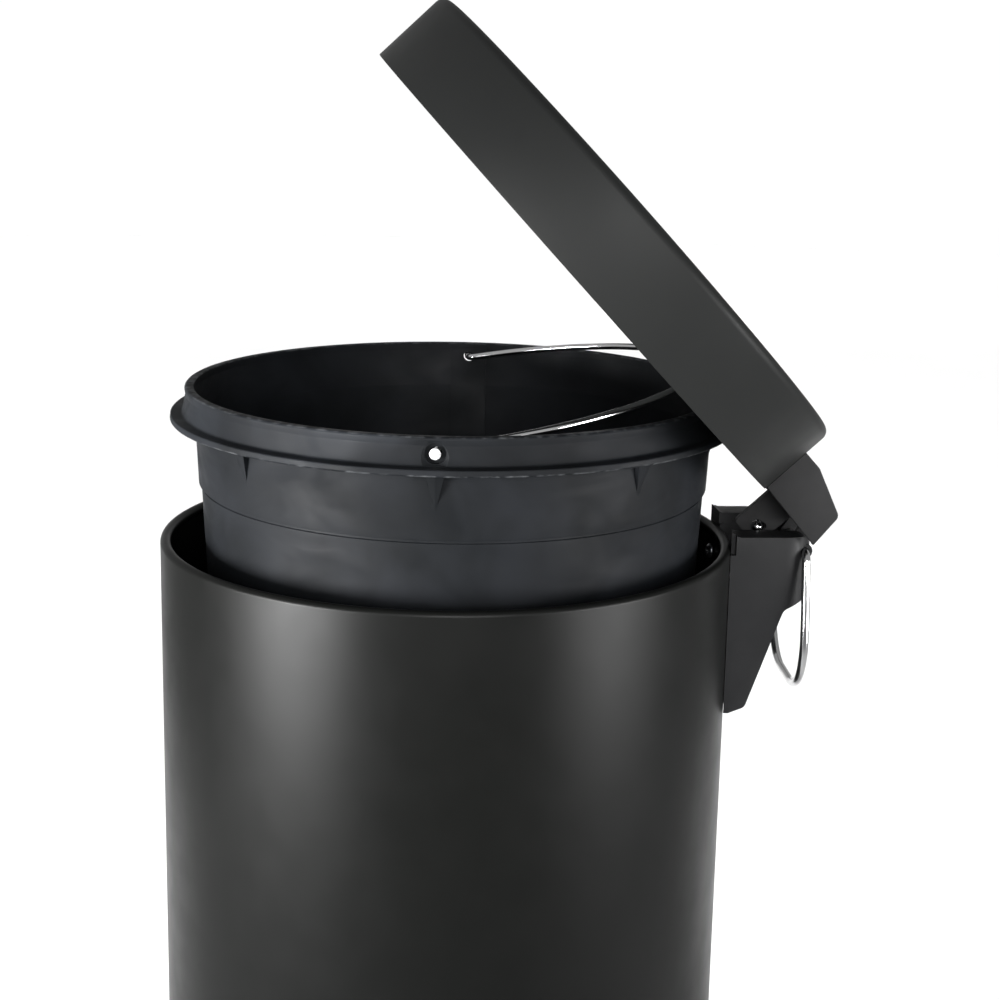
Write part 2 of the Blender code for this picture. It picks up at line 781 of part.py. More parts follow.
def bucket(parent):
    """The lift-out bucket, its lug axis along its own X."""
    pail = turned("bucket", bucket_profile(), 48, closed=False)
    for index in range(8):
        join(pail, gusset(math.radians(45 * index)))
    for side in (-1, 1):
        near, far = sorted((side * 0.1095, side * 0.1135))
        join(pail, box("lug_pad", (near, -0.0095, -0.0130), (far, 0.0095, 0.0120)))
    for side in (-1, 1):
        through = [(side * x, 0, LUG_Z) for x in (0.100, 0.125)]
        recess = [(side * x, 0, LUG_Z) for x in (0.1148, 0.1190)]
        cut(pail, rod_between("lug_hole", *through, BAIL_HEAD + GAP, 16))
        cut(pail, rod_between("lug_recess", *recess, 0.0038, 20, 0.0050))
    smooth(pail, 30)
    return link(pail, BUCKET_PLASTIC, parent)


def bail(parent):
    """The bucket's wire handle, folded back over the rear of the collar."""
    end, bend, inside = 0.1160, 0.0040, BAIL_HALF_WIDTH
    side = [Vector((end, 0, 0)), Vector((inside + bend, 0, 0))]
    side += [
        Vector((inside + bend - bend * math.sin(a), bend - bend * math.cos(a), 0))
        for a in (math.radians(22.5 * k) for k in range(1, 5))
    ]
    loop = []
    for k in range(1, 16):
        a = math.radians(180 * k / 32)
        out, along = math.cos(a), math.sin(a)
        loop.append(Vector((inside * out, bend + (BAIL_REACH - bend) * along, 0)))
    half = side + loop
    apex = [Vector((0, BAIL_REACH, 0))]
    route = half + apex + [Vector((-p.x, p.y, 0)) for p in reversed(half)]
    made = baked(wire("bail_wire", route, BAIL_RADIUS))
    made.name = "bail"
    for sign in (-1, 1):
        head = [(sign * x, 0, 0) for x in (end - 0.0012, end + 0.0004)]
        knob = rod_between("bail_head", *head, BAIL_HEAD, 16)
        join(made, knob)
    made.rotation_euler = (BAIL_TILT, 0, 0)
    smooth(made)
    return link(made, CHROME, parent)


def carry_handle(parent):
    """The wire loop on the hinge axis, hanging behind the housing."""
    knee, low = HANDLE_KNEE, HANDLE_LOW
    right = [(HANDLE_TIP, 0, 0), (HANDLE_TOP, 0, 0), (knee[0], 0, -knee[1]), (low[0], 0, -low[1])]
    corners = right + [(-x, y, z) for x, y, z in reversed(right)]
    radii = [0.0045, 0.0400, HANDLE_CORNER]
    route = bent(corners, radii + radii[::-1])
    return link(wire("carry_handle", route, HANDLE_RADIUS), CHROME, parent)


# ---- assembly ----------------------------------------------------------------


def build():
    body_shell()
    body_floor()
    base_pan()
    feet()
    rod_guide()
    lever_pin()
    hinge_housing()
    hinge_pin()
    housing_screws()

    pedal_axis = empty("pedal_axis", (0, LEVER_Y, LEVER_Z), LEVER_TILT)
    pedal_lever(pedal_axis)
    pedal_pad(pedal_axis)

    rod_axis = empty("rod_axis", (0, ROD_Y, HOOK_Z))
    push_rod(rod_axis)
    rod_cap(rod_axis)

    lid_axis = empty("lid_axis", (0, HINGE_Y, HINGE_Z), -LID_OPEN)
    lid_shell(lid_axis)
    lid_bracket(lid_axis)
    bracket_screws(lid_axis)

    handle_axis = empty("handle_axis", (0, HINGE_Y, HINGE_Z))
    carry_handle(handle_axis)

    seat = (0, BUCKET_DRIFT, RIM_Z + BUCKET_LIFT)
    bucket_axis = empty("bucket_axis", seat, rotation_z=BUCKET_TURN)
    bucket(bucket_axis)
    bail_axis = empty("bail_axis", (0, 0, LUG_Z), parent=bucket_axis)
    bail(bail_axis)


build()
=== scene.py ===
"""Pedal trash can: the finished look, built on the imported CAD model.

Metres, +Z up, front (pedal side) towards -Y. Pieces of the lid are drawn on the closed lid, those of
the bucket about its own axis, and those of the pedal level. Each is then placed where the frame says.
"""

import json
import math

import bmesh
import bpy
from mathutils import Matrix, Vector


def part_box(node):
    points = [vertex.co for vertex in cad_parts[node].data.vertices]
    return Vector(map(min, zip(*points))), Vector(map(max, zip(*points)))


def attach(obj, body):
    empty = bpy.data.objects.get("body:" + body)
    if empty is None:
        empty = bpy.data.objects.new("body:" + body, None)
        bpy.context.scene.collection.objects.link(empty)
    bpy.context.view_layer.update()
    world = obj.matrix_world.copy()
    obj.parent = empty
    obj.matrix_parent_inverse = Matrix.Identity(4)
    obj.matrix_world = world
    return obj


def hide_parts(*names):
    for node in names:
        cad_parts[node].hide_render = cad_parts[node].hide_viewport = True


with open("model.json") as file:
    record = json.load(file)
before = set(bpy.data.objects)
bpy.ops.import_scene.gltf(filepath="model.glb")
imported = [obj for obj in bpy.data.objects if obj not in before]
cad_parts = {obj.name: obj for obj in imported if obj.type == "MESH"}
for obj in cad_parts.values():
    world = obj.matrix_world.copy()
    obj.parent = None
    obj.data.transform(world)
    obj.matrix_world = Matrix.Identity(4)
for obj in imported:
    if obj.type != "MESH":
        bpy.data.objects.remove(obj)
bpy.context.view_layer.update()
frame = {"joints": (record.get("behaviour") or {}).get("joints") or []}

JOINTS = {joint["name"]: joint for joint in frame["joints"]}
BODY_LOW, BODY_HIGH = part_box("body_shell")
BODY_RADIUS = BODY_HIGH.x
RIM_Z = BODY_HIGH.z
STEEL = 0.0008
RIM_ROLL = 0.0023
GAP = 0.0003
ON_AXIS = 1e-6  # a smaller radius is one point on the axis
SAME_PLACE = 0.00002  # corners closer than this are one
FLAT_ENOUGH = 0.01  # faces that meet at less than this angle are one

HINGE = Vector(JOINTS["lid_hinge"]["pos_m"])
LID_OPEN = math.radians(-JOINTS["lid_hinge"]["range_deg"][0])
HINGE_UP = HINGE.z - RIM_Z  # the hinge axis above the rim
LID = (
    Matrix.Translation(HINGE)
    @ Matrix.Rotation(-LID_OPEN, 4, "X")
    @ Matrix.Translation(Vector((0, 0, RIM_Z)) - HINGE)
)

LUG = Vector(JOINTS["bail_hinge"]["pos_m"])
LUG_AXIS = Vector(JOINTS["bail_hinge"]["axis"])
BUCKET_TURN = math.atan2(LUG_AXIS.y, LUG_AXIS.x)
COLLAR_HEIGHT = 0.0143
FLANGE = 0.1225
LUG_UP = LUG.z - (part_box("bucket")[1].z - COLLAR_HEIGHT)  # the lugs above the flange's underside
BUCKET = Matrix.Translation(LUG - Vector((0, 0, LUG_UP))) @ Matrix.Rotation(BUCKET_TURN, 4, "Z")

LEVER = Vector(JOINTS["pedal_hinge"]["pos_m"])
LEVER_TILT = math.radians(-JOINTS["pedal_hinge"]["range_deg"][0]) / 2
PEDAL = Matrix.Translation(LEVER) @ Matrix.Rotation(LEVER_TILT, 4, "X")


# ---- mesh helpers ----


def add_object(name, data):
    """A new object in the scene."""
    obj = bpy.data.objects.new(name, data)
    bpy.context.scene.collection.objects.link(obj)
    return obj


def from_bmesh(name, bm, recalculate=True):
    """A new mesh object, its faces turned outwards unless told not to."""
    if recalculate:
        bmesh.ops.recalc_face_normals(bm, faces=bm.faces)
    mesh = bpy.data.meshes.new(name)
    bm.to_mesh(mesh)
    bm.free()
    return add_object(name, mesh)


def fillet(corners, closed=True, count=6):
    """An outline through (a, b, radius) corners, each rounded to its own radius."""
    points = []
    last = len(corners) - 1
    for index, (a, b, radius) in enumerate(corners):
        if radius <= 0 or (not closed and index in (0, last)):
            points.append((a, b))
            continue
        here = Vector((a, b))
        into = (Vector(corners[index - 1][:2]) - here).normalized()
        out = (Vector(corners[(index + 1) % (last + 1)][:2]) - here).normalized()
        half = into.angle(out) / 2
        centre = here + (into + out).normalized() * (radius / math.sin(half))
        start = here + into * (radius / math.tan(half)) - centre
        end = here + out * (radius / math.tan(half)) - centre
        first = math.atan2(start.y, start.x)
        sweep = math.atan2(end.y, end.x) - first
        sweep = (sweep + math.pi) % math.tau - math.pi
        for step in range(count + 1):
            angle = first + sweep * step / count
            points.append((centre.x + radius * math.cos(angle), centre.y + radius * math.sin(angle)))
    return points


def arc(centre, radius, start, end, count):
    """Points on an arc in two dimensions, its angles in degrees."""
    points = []
    for step in range(count + 1):
        angle = math.radians(start + (end - start) * step / count)
        points.append((centre[0] + radius * math.cos(angle), centre[1] + radius * math.sin(angle)))
    return points


def closer(points, most):
    """The outline with its segments split, so that none is longer than the most allowed."""
    split = [points[0]]
    for start, end in zip(points, points[1:]):
        count = math.ceil(math.dist(start, end) / most)
        for step in range(1, count + 1):
            a = start[0] + (end[0] - start[0]) * step / count
            b = start[1] + (end[1] - start[1]) * step / count
            split.append((a, b))
    return split


def lathe(name, profile, steps=192, closed=False):
    """A profile of (radius, height) points turned about Z. An open one starts and ends on the axis."""
    bm = bmesh.new()
    rings = []
    for radius, height in profile:
        if radius < ON_AXIS:
            rings.append([bm.verts.new((0, 0, height))])
            continue
        ring = []
        for step in range(steps):
            angle = math.tau * step / steps
            ring.append(bm.verts.new((radius * math.cos(angle), radius * math.sin(angle), height)))
        rings.append(ring)
    pairs = list(zip(rings, rings[1:]))
    if closed:
        pairs.append((rings[-1], rings[0]))
    for one, two in pairs:
        for step in range(steps):
            after = (step + 1) % steps
            corners = [one[step % len(one)], one[after % len(one)]]
            corners += [two[after % len(two)], two[step % len(two)]]
            bm.faces.new(list(dict.fromkeys(corners)))
    return from_bmesh(name, bm)


def turned(name, corners, steps, count=5):
    """A solid turned about Z from (radius, height, rounding) corners."""
    return lathe(name, fillet(corners, closed=False, count=count), steps)


def slab(name, outline, low, high, axis="X"):
    """A flat outline made solid between two offsets: (y, z) points along X, or (x, y) along Z."""
    bm = bmesh.new()
    ring = []
    for a, b in outline:
        ring.append(bm.verts.new((low, a, b) if axis == "X" else (a, b, low)))
    face = bm.faces.new(ring)
    shift = Vector((high - low, 0, 0)) if axis == "X" else Vector((0, 0, high - low))
    moved = bmesh.ops.extrude_face_region(bm, geom=[face])
    verts = [item for item in moved["geom"] if isinstance(item, bmesh.types.BMVert)]
    bmesh.ops.translate(bm, verts=verts, vec=shift)
    return from_bmesh(name, bm)


def block(name, low, high):
    """A box between two opposite corners."""
    outline = [(low[0], low[1]), (high[0], low[1]), (high[0], high[1]), (low[0], high[1])]
    return slab(name, outline, low[2], high[2], "Z")


def drum(name, start, end, radius, segments=48, end_radius=None):
    """A cylinder or a cone between two points."""
    start, end = Vector(start), Vector(end)
    along = end - start
    turn = Vector((0, 0, 1)).rotation_difference(along.normalized()).to_matrix().to_4x4()
    bm = bmesh.new()
    bmesh.ops.create_cone(
        bm,
        cap_ends=True,
        segments=segments,
        radius1=radius,
        radius2=radius if end_radius is None else end_radius,
        depth=along.length,
        matrix=Matrix.Translation((start + end) / 2) @ turn,
    )
    return from_bmesh(name, bm)


def crossbar(name, reach, y, z, radius, segments=48):
    """A cylinder along X that reaches equally far to both sides."""
    return drum(name, (-reach, y, z), (reach, y, z), radius, segments)


def around(radius, angle, z):
    """A point at this radius, at an angle from +Y towards -X."""
    return Vector((-radius * math.sin(angle), radius * math.cos(angle), z))


def radial(name, spots, near, far, radius, segments=24):
    """At each (angle, height), a cylinder pointing away from the can's axis."""
    return [drum(name, around(near, a, z), around(far, a, z), radius, segments) for a, z in spots]


def mirrored(side, near, far):
    """A span to the +X side, or its mirror image, from low to high."""
    return sorted((side * near, side * far))


def settle(obj):
    """Applies the object's modifiers."""
    bpy.context.view_layer.update()
    graph = bpy.context.evaluated_depsgraph_get()
    mesh = bpy.data.meshes.new_from_object(obj.evaluated_get(graph))
    obj.modifiers.clear()
    obj.data = mesh
    return obj


def combine(obj, others, operation):
    """Cuts the other objects from this one, or joins them to it."""
    for other in others:
        step = obj.modifiers.new(operation.lower(), "BOOLEAN")
        step.operation = operation
        step.object = other
        step.solver = "EXACT"
    settle(obj)
    for other in others:
        bpy.data.objects.remove(other, do_unlink=True)
    return obj


def cut(obj, *others):
    """Cuts the others out of this one."""
    return combine(obj, others, "DIFFERENCE")


def join(obj, *others):
    """Makes one solid of this one and the others."""
    return combine(obj, others, "UNION")


def soften(obj, width, segments=3, degrees=32):
    """Rounds the edges of a piece that is made of cuts and joins."""
    bm = bmesh.new()
    bm.from_mesh(obj.data)
    bmesh.ops.remove_doubles(bm, verts=bm.verts, dist=SAME_PLACE)
    bmesh.ops.dissolve_limit(bm, angle_limit=FLAT_ENOUGH, verts=bm.verts, edges=bm.edges)
    bm.to_mesh(obj.data)
    bm.free()
    bevel = obj.modifiers.new("soft edges", "BEVEL")
    bevel.width = width
    bevel.segments = segments
    bevel.limit_method = "ANGLE"
    bevel.angle_limit = math.radians(degrees)
    bevel.use_clamp_overlap = True
    bevel.miter_outer = "MITER_ARC"
    return settle(obj)


def bent(corners, radii, count=12):
    """A route through the corners, each inner one rounded to its bend radius."""
    corners = [Vector(corner) for corner in corners]
    route = [corners[0]]
    for before, corner, after, radius in zip(corners, corners[1:], corners[2:], radii):
        into = (before - corner).normalized()
        out = (after - corner).normalized()
        half = into.angle(out) / 2
        centre = corner + (into + out).normalized() * (radius / math.sin(half))
        start = corner + into * (radius / math.tan(half)) - centre
        normal = into.cross(out).normalized()
        sweep = 2 * half - math.pi
        for step in range(count + 1):
            route.append(centre + Matrix.Rotation(sweep * step / count, 3, normal) @ start)
    route.append(corners[-1])
    return route


def place(obj, matrix):
    """Moves the mesh itself, not the object."""
    obj.data.transform(matrix)
    return obj


def gather(name, objects):
    """One object from several separate meshes."""
    bm = bmesh.new()
    for obj in objects:
        bm.from_mesh(obj.data)
        bpy.data.objects.remove(obj, do_unlink=True)
    return from_bmesh(name, bm, recalculate=False)


def shaft(name, start, end, radius, edge=0.0004, segments=48):
    """A turned pin with rounded ends."""
    start, end = Vector(start), Vector(end)
    length = (end - start).length
    corners = [(0, 0, 0), (radius, 0, edge), (radius, length, edge), (0, length, 0)]
    pin = turned(name, corners, segments)
    turn = Vector((0, 0, 1)).rotation_difference((end - start).normalized()).to_matrix().to_4x4()
    return place(pin, Matrix.Translation(start) @ turn)


def tube(name, route, radii, sides=28):
    """A round bar along a route, with its own radius at each point."""
    points = [Vector(point) for point in route]
    bm = bmesh.new()
    rings = []
    across = None
    for index, (point, radius) in enumerate(zip(points, radii)):
        ahead = points[min(index + 1, len(points) - 1)]
        behind = points[max(index - 1, 0)]
        along = (ahead - behind).normalized()
        if across is None:
            across = along.orthogonal()
        across = (across - along * across.dot(along)).normalized()
        other = along.cross(across)
        ring = []
        for side in range(sides):
            angle = math.tau * side / sides
            ring.append(bm.verts.new(point + (across * math.cos(angle) + other * math.sin(angle)) * radius))
        rings.append(ring)
    for one, two in zip(rings, rings[1:]):
        for side in range(sides):
            after = (side + 1) % sides
            bm.faces.new([one[side], one[after], two[after], two[side]])
    bm.faces.new(rings[0])
    bm.faces.new(rings[-1])
    return from_bmesh(name, bm)


def bar(name, route, radius, edge=0.0004):
    """A wire of one thickness whose cut ends are slightly rounded."""
    points = [Vector(point) for point in route]
    radii = [radius] * len(points)
    for end, inner in ((0, 1), (-1, -2)):
        tip = points[end]
        back = (points[inner] - tip).normalized()
        steps = []
        for angle in (0, 30, 60, 90):
            angle = math.radians(angle)
            steps.append((tip + back * edge * (1 - math.sin(angle)), radius - edge * (1 - math.cos(angle))))
        if end == 0:
            steps.reverse()
            points[:1] = [step[0] for step in steps]
            radii[:1] = [step[1] for step in steps]
        else:
            points[-1:] = [step[0] for step in steps]
            radii[-1:] = [step[1] for step in steps]
    return tube(name, points, radii)


def finish_piece(obj, body, mat, node, degrees=40):
    """Shades a piece, gives it its body and its material, and hides the CAD node that it stands for."""
    obj.data.shade_smooth()
    obj.data.set_sharp_from_angle(angle=math.radians(degrees))
    obj.data.materials.clear()
    obj.data.materials.append(mat)
    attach(obj, body)
    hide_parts(node)


# ---- materials ----


def graded(tree, source, start, end, low, high):
    """Maps a number's run from start to end smoothly onto low to high."""
    node = tree.nodes.new("ShaderNodeMapRange")
    node.interpolation_type = "SMOOTHSTEP"
    for name, value in (("From Min", start), ("From Max", end), ("To Min", low), ("To Max", high)):
        node.inputs[name].default_value = value
    tree.links.new(source, node.inputs["Value"])
    return node.outputs["Result"]


class Surface:
    """A Principled material with helpers for the procedural detail on top of it."""

    def __init__(self, name, colour, roughness, metallic=0.0, specular=0.5):
        self.material = bpy.data.materials.new(name)
        self.material.use_nodes = True
        self.tree = self.material.node_tree
        self.link = self.tree.links.new
        self.shader = self.tree.nodes["Principled BSDF"]
        self.shader.inputs["Base Color"].default_value = (*colour, 1)
        self.shader.inputs["Roughness"].default_value = roughness
        self.shader.inputs["Metallic"].default_value = metallic
        self.shader.inputs["Specular IOR Level"].default_value = specular
        self.material.diffuse_color = (*colour, 1)
        self.place = self.add("TexCoord").outputs["Object"]
        self.normal = None

    def add(self, kind):
        """A new node of this kind."""
        return self.tree.nodes.new("ShaderNode" + kind)

    def noise(self, scale, detail=3.0, stretch=None, distortion=0.0):
        """Noise in the object's own metres, finer as the scale grows."""
        node = self.add("TexNoise")
        node.inputs["Scale"].default_value = scale
        node.inputs["Detail"].default_value = detail
        node.inputs["Distortion"].default_value = distortion
        source = self.place
        if stretch:
            mapping = self.add("Mapping")
            mapping.inputs["Scale"].default_value = stretch
            self.link(source, mapping.inputs["Vector"])
            source = mapping.outputs["Vector"]
        self.link(source, node.inputs["Vector"])
        return node.outputs["Fac"]

    def ramp(self, source, stops):
        """Colours a number by a ramp of (position, colour) stops."""
        node = self.add("ValToRGB")
        elements = node.color_ramp.elements
        while len(elements) < len(stops):
            elements.new(0.5)
        for element, (position, colour) in zip(elements, stops):
            element.position = position
            element.color = (*colour, 1)
        self.link(source, node.inputs["Fac"])
        return node.outputs["Color"]

    def mottled(self, source, dark, light, low=0.3, high=0.7):
        """Shades the base colour between two tones by a noise."""
        self.to("Base Color", self.ramp(source, [(low, dark), (high, light)]))

    def scuffed(self, base, colour, masks):
        """Mixes in a paler colour where any of the masks is high, broken up by noise."""
        amount = self.spread(self.noise(240, 6), -0.5, 0.9)
        total = masks[0]
        for mask in masks[1:]:
            total = self.maths("MAXIMUM", total, mask)
        return self.tinted(base, colour, self.maths("MULTIPLY", total, amount))

    def tinted(self, base, colour, amount):
        """Mixes a colour in by an amount."""
        mix = self.add("Mix")
        mix.data_type = "RGBA"
        mix.inputs["B"].default_value = (*colour, 1)
        self.link(amount, mix.inputs["Factor"])
        self.link(base, mix.inputs["A"])
        return mix.outputs["Result"]

    def maths(self, operation, one, two):
        """Works out one number from two."""
        node = self.add("Math")
        node.operation = operation
        self.link(one, node.inputs[0])
        self.link(two, node.inputs[1])
        return node.outputs["Value"]

    def height(self):
        """The height above the floor at rest."""
        node = self.add("SeparateXYZ")
        self.link(self.place, node.inputs[0])
        return node.outputs["Z"]

    def distance_from(self, axis):
        """How far a point is from an upright axis through this place."""
        flat = self.add("VectorMath")
        flat.operation = "MULTIPLY"
        flat.inputs[1].default_value = (1, 1, 0)
        self.link(self.place, flat.inputs[0])
        far = self.add("VectorMath")
        far.operation = "DISTANCE"
        far.inputs[1].default_value = (axis.x, axis.y, 0)
        self.link(flat.outputs[0], far.inputs[0])
        return far.outputs["Value"]

    def spread(self, source, low, high):
        """Maps 0.3 to 0.7 of a noise onto a range of numbers."""
        node = self.add("MapRange")
        node.inputs["From Min"].default_value = 0.3
        node.inputs["From Max"].default_value = 0.7
        node.inputs["To Min"].default_value = low
        node.inputs["To Max"].default_value = high
        self.link(source, node.inputs["Value"])
        return node.outputs["Result"]

    def to(self, socket, source):
        """Feeds one of the shader's inputs."""
        self.link(source, self.shader.inputs[socket])

    def bump(self, source, height, strength=1.0):
        """Adds relief of this height in metres. Later calls build on earlier ones."""
        node = self.add("Bump")
        node.inputs["Distance"].default_value = height
        node.inputs["Strength"].default_value = strength
        self.link(source, node.inputs["Height"])
        if self.normal:
            self.link(self.normal, node.inputs["Normal"])
        self.normal = node.outputs["Normal"]
        self.link(self.normal, self.shader.inputs["Normal"])


def charcoal_paint(name, dark, light, roughness):
    """Satin powder coat: faint blotches, slightly uneven gloss, fine orange peel."""
    surface = Surface(name, light, roughness, specular=0.12)
    surface.mottled(surface.noise(9, 4), dark, light)
    surface.to("Roughness", surface.spread(surface.noise(60, 5), roughness - 0.02, roughness + 0.03))
    surface.bump(surface.noise(1500, 2), 0.00002, 0.25)
    return surface.material


def moulded_plastic(name, dark, light, roughness):
    """Black plastic with a fine matt texture and a faintly cloudy colour."""
    surface = Surface(name, light, roughness, specular=0.22)
    surface.mottled(surface.noise(160, 5), dark, light)
    surface.to("Roughness", surface.spread(surface.noise(300, 4), roughness - 0.05, roughness + 0.06))
    surface.bump(surface.noise(2200, 3), 0.00006, 0.5)
    return surface.material


def bucket_plastic():
    """Blue-black polypropylene: cloudy, with paler patches painted on its collar and flange as sheen, and
    scuffs on its flange and top edge.
    """
    surface = Surface("bucket_plastic", (0.006, 0.007, 0.008), 0.60, specular=0.10)
    tree = surface.tree
    dark, light = (0.0045, 0.0052, 0.0061), (0.0085, 0.0095, 0.0113)
    # The first colour is a painted sheen, paler patches on the collar and flange that stand in for
    # highlights; the second is real scuffing.
    painted_sheen_colour, scuff_colour = (0.014, 0.0157, 0.0186), (0.10, 0.105, 0.11)
    axis = BUCKET.to_translation()
    cloud = surface.noise(30, 6, distortion=0.6)
    base = surface.ramp(cloud, [(0.36, dark), (0.64, light)])
    # Painted sheen: a cloudy mask of paler patches on the collar and flange, standing in for highlights.
    painted_sheen_patches = graded(tree, surface.noise(15, 2, (1, 1, 1.6), distortion=0.8), 0.50, 0.72, 0, 1)
    radius = surface.distance_from(axis)
    collar = graded(tree, radius, 0.1140, 0.1155, 0, 1)
    base = surface.tinted(base, painted_sheen_colour, surface.maths("MULTIPLY", painted_sheen_patches, collar))
    rim = graded(tree, radius, FLANGE - 0.0014, FLANGE - 0.0003, 0, 0.8)
    under = graded(tree, surface.height(), axis.z + 0.0010, axis.z + 0.0003, 0, 1)
    rim = surface.maths("MULTIPLY", rim, under)
    top = axis.z + COLLAR_HEIGHT
    lip = graded(tree, surface.height(), top - 0.0008, top - 0.0001, 0, 0.7)
    surface.to("Base Color", surface.scuffed(base, scuff_colour, [rim, lip]))
    smear = surface.noise(26, 7, (1, 1, 2.4), distortion=1.2)
    surface.to("Roughness", surface.spread(smear, 0.46, 0.70))
    surface.bump(surface.noise(420, 3), 0.00005, 0.25)
    surface.bump(surface.noise(24, 3), 0.0006, 0.16)
    return surface.material


def chrome(name, dark, light):
    """Bright plating with a slightly uneven gloss."""
    surface = Surface(name, light, 0.12, metallic=1.0)
    surface.to("Roughness", surface.spread(surface.noise(140, 4), 0.09, 0.17))
    surface.mottled(surface.noise(60, 4), dark, light)
    surface.bump(surface.noise(500, 2), 0.00003, 0.2)
    return surface.material


def cut_steel():
    """The sawn end of a plated wire."""
    surface = Surface("cut_steel", (0.42, 0.42, 0.42), 0.8, specular=0.1)
    surface.mottled(surface.noise(900, 5), (0.30, 0.30, 0.31), (0.55, 0.55, 0.55), 0.35, 0.65)
    surface.bump(surface.noise(2500, 4), 0.00008, 0.6)
    return surface.material


def zinc():
    """Zinc-plated steel, cloudy and half matt."""
    surface = Surface("zinc_steel", (0.50, 0.50, 0.51), 0.34, metallic=1.0)
    surface.mottled(surface.noise(90, 6), (0.40, 0.41, 0.43), (0.58, 0.58, 0.57))
    surface.to("Roughness", surface.spread(surface.noise(220, 5), 0.26, 0.44))
    surface.bump(surface.noise(700, 4), 0.00004, 0.3)
    return surface.material


def rubber():
    """Matt black rubber."""
    surface = Surface("rubber", (0.014, 0.014, 0.014), 0.8)
    surface.mottled(surface.noise(120, 4), (0.010, 0.010, 0.010), (0.019, 0.019, 0.018))
    surface.bump(surface.noise(900, 4), 0.0001, 0.5)
    return surface.material


PAINT = charcoal_paint("charcoal_paint", (0.0022, 0.0024, 0.0022), (0.0030, 0.0032, 0.0029), 0.38)
# The lid's paint is a lighter copy of the body's charcoal paint: painted light, standing in for the light
# that falls on the lid.
LIT_LID_PAINT = charcoal_paint("lid_paint_painted_light", (0.0100, 0.0105, 0.0103), (0.0122, 0.0128, 0.0125), 0.47)
HOUSING_PLASTIC = moulded_plastic("housing_plastic", (0.0056, 0.0058, 0.0064), (0.0074, 0.0076, 0.0083), 0.55)
HOOD_PLASTIC = moulded_plastic("hood_plastic", (0.0078, 0.0078, 0.0082), (0.0098, 0.0098, 0.0102), 0.58)
BASE_PLASTIC = moulded_plastic("base_plastic", (0.0100, 0.0100, 0.0110), (0.0135, 0.0135, 0.0145), 0.50)
BUCKET_PLASTIC = bucket_plastic()
CHROME = chrome("chrome", (0.56, 0.56, 0.57), (0.68, 0.68, 0.68))
# The bail's chrome is a brighter copy of the same plating: painted light, standing in for the bright
# reflections along the wire.
LIT_BAIL_CHROME = chrome("bail_chrome_painted_light", (0.86, 0.86, 0.87), (0.94, 0.94, 0.94))
CUT_STEEL = cut_steel()
ZINC = zinc()
RUBBER = rubber()


# ---- body ----


HOUSING_SCREWS = (  # name, angle from +Y, height
    ("housing_screw_1", math.radians(9.7), RIM_Z - 0.0140),
    ("housing_screw_2", math.radians(-9.7), RIM_Z - 0.0140),
    ("housing_screw_3", 0.0, RIM_Z - 0.0640),
)
HOUSING_SPOTS = [(angle, z) for _, angle, z in HOUSING_SCREWS]
SCREW_HOLE = 0.0019  # through sheet
SCREW_BORE = 0.0018  # in plastic
WELL_INSIDE = 0.11  # a radius from which cutters start, inside every wall
PEDAL_WAY_HALF = 0.0145
PEDAL_WAY_TOP = 0.0465
LEVER_PIN_RADIUS = 0.0030
LEVER_BORE = 0.0033


def body_shell():
    """The painted cylinder: a rolled rim, a hem, a way for the pedal and one for the push rod."""
    outer, inner = BODY_RADIUS, BODY_RADIUS - STEEL
    roll = arc((outer - RIM_ROLL, RIM_Z - RIM_ROLL), RIM_ROLL, 225, 0, 18)
    low = BODY_LOW.z
    hem = [(outer, low + 0.0004), (outer - 0.0002, low), (inner + 0.0002, low), (inner, low + 0.0003)]
    shell = lathe("body_shell_skin", roll + hem + [(inner, RIM_Z - 0.0058)], 288, closed=True)
    out = BODY_RADIUS + 0.01
    half, low, high, corner = PEDAL_WAY_HALF, 0.0120, PEDAL_WAY_TOP, 0.003
    outline = [(-half, low, corner), (half, low, corner), (half, high, corner), (-half, high, corner)]
    pedal_way = slab("pedal_way", fillet(outline), WELL_INSIDE, out, "Z")
    place(pedal_way, Matrix.Rotation(math.radians(90), 4, "X"))
    rod_way = block("rod_way", (-0.004, WELL_INSIDE, RIM_Z - 0.052), (0.004, out, RIM_Z - 0.021))
    cut(shell, pedal_way, rod_way, *radial("hole", HOUSING_SPOTS, WELL_INSIDE, out, SCREW_HOLE))
    finish_piece(shell, "can", PAINT, "body_shell")


def body_floor():
    """The pressed floor with a round bead, a notch for the rod's guide and a way for the pedal."""
    low, high = (corner.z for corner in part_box("body_floor"))
    outer = BODY_RADIUS - STEEL - GAP
    bead, slope, sink = 0.088, 0.006, 0.0022
    under = high - STEEL
    corners = [
        (0, high, 0),
        (bead - slope, high, 0.004),
        (bead, high - sink, 0.003),
        (bead + slope, high, 0.004),
        (outer, high, 0.0025),
        (outer, low, 0),
        (outer - STEEL, low, 0),
        (outer - STEEL, under, 0.0018),
        (bead + slope, under, 0.004),
        (bead, high - sink - STEEL, 0.003),
        (bead - slope, under, 0.004),
        (0, under, 0),
    ]
    floor = turned("body_floor_pressing", corners, 192)
    notch = block("notch", (-0.009, 0.1115, low - 0.01), (0.009, 0.13, high + 0.01))
    half = PEDAL_WAY_HALF
    way = block("way", (-half, -0.13, low - 0.01), (half, -WELL_INSIDE, PEDAL_WAY_TOP))
    cut(floor, notch, way)
    finish_piece(floor, "can", ZINC, "body_floor")


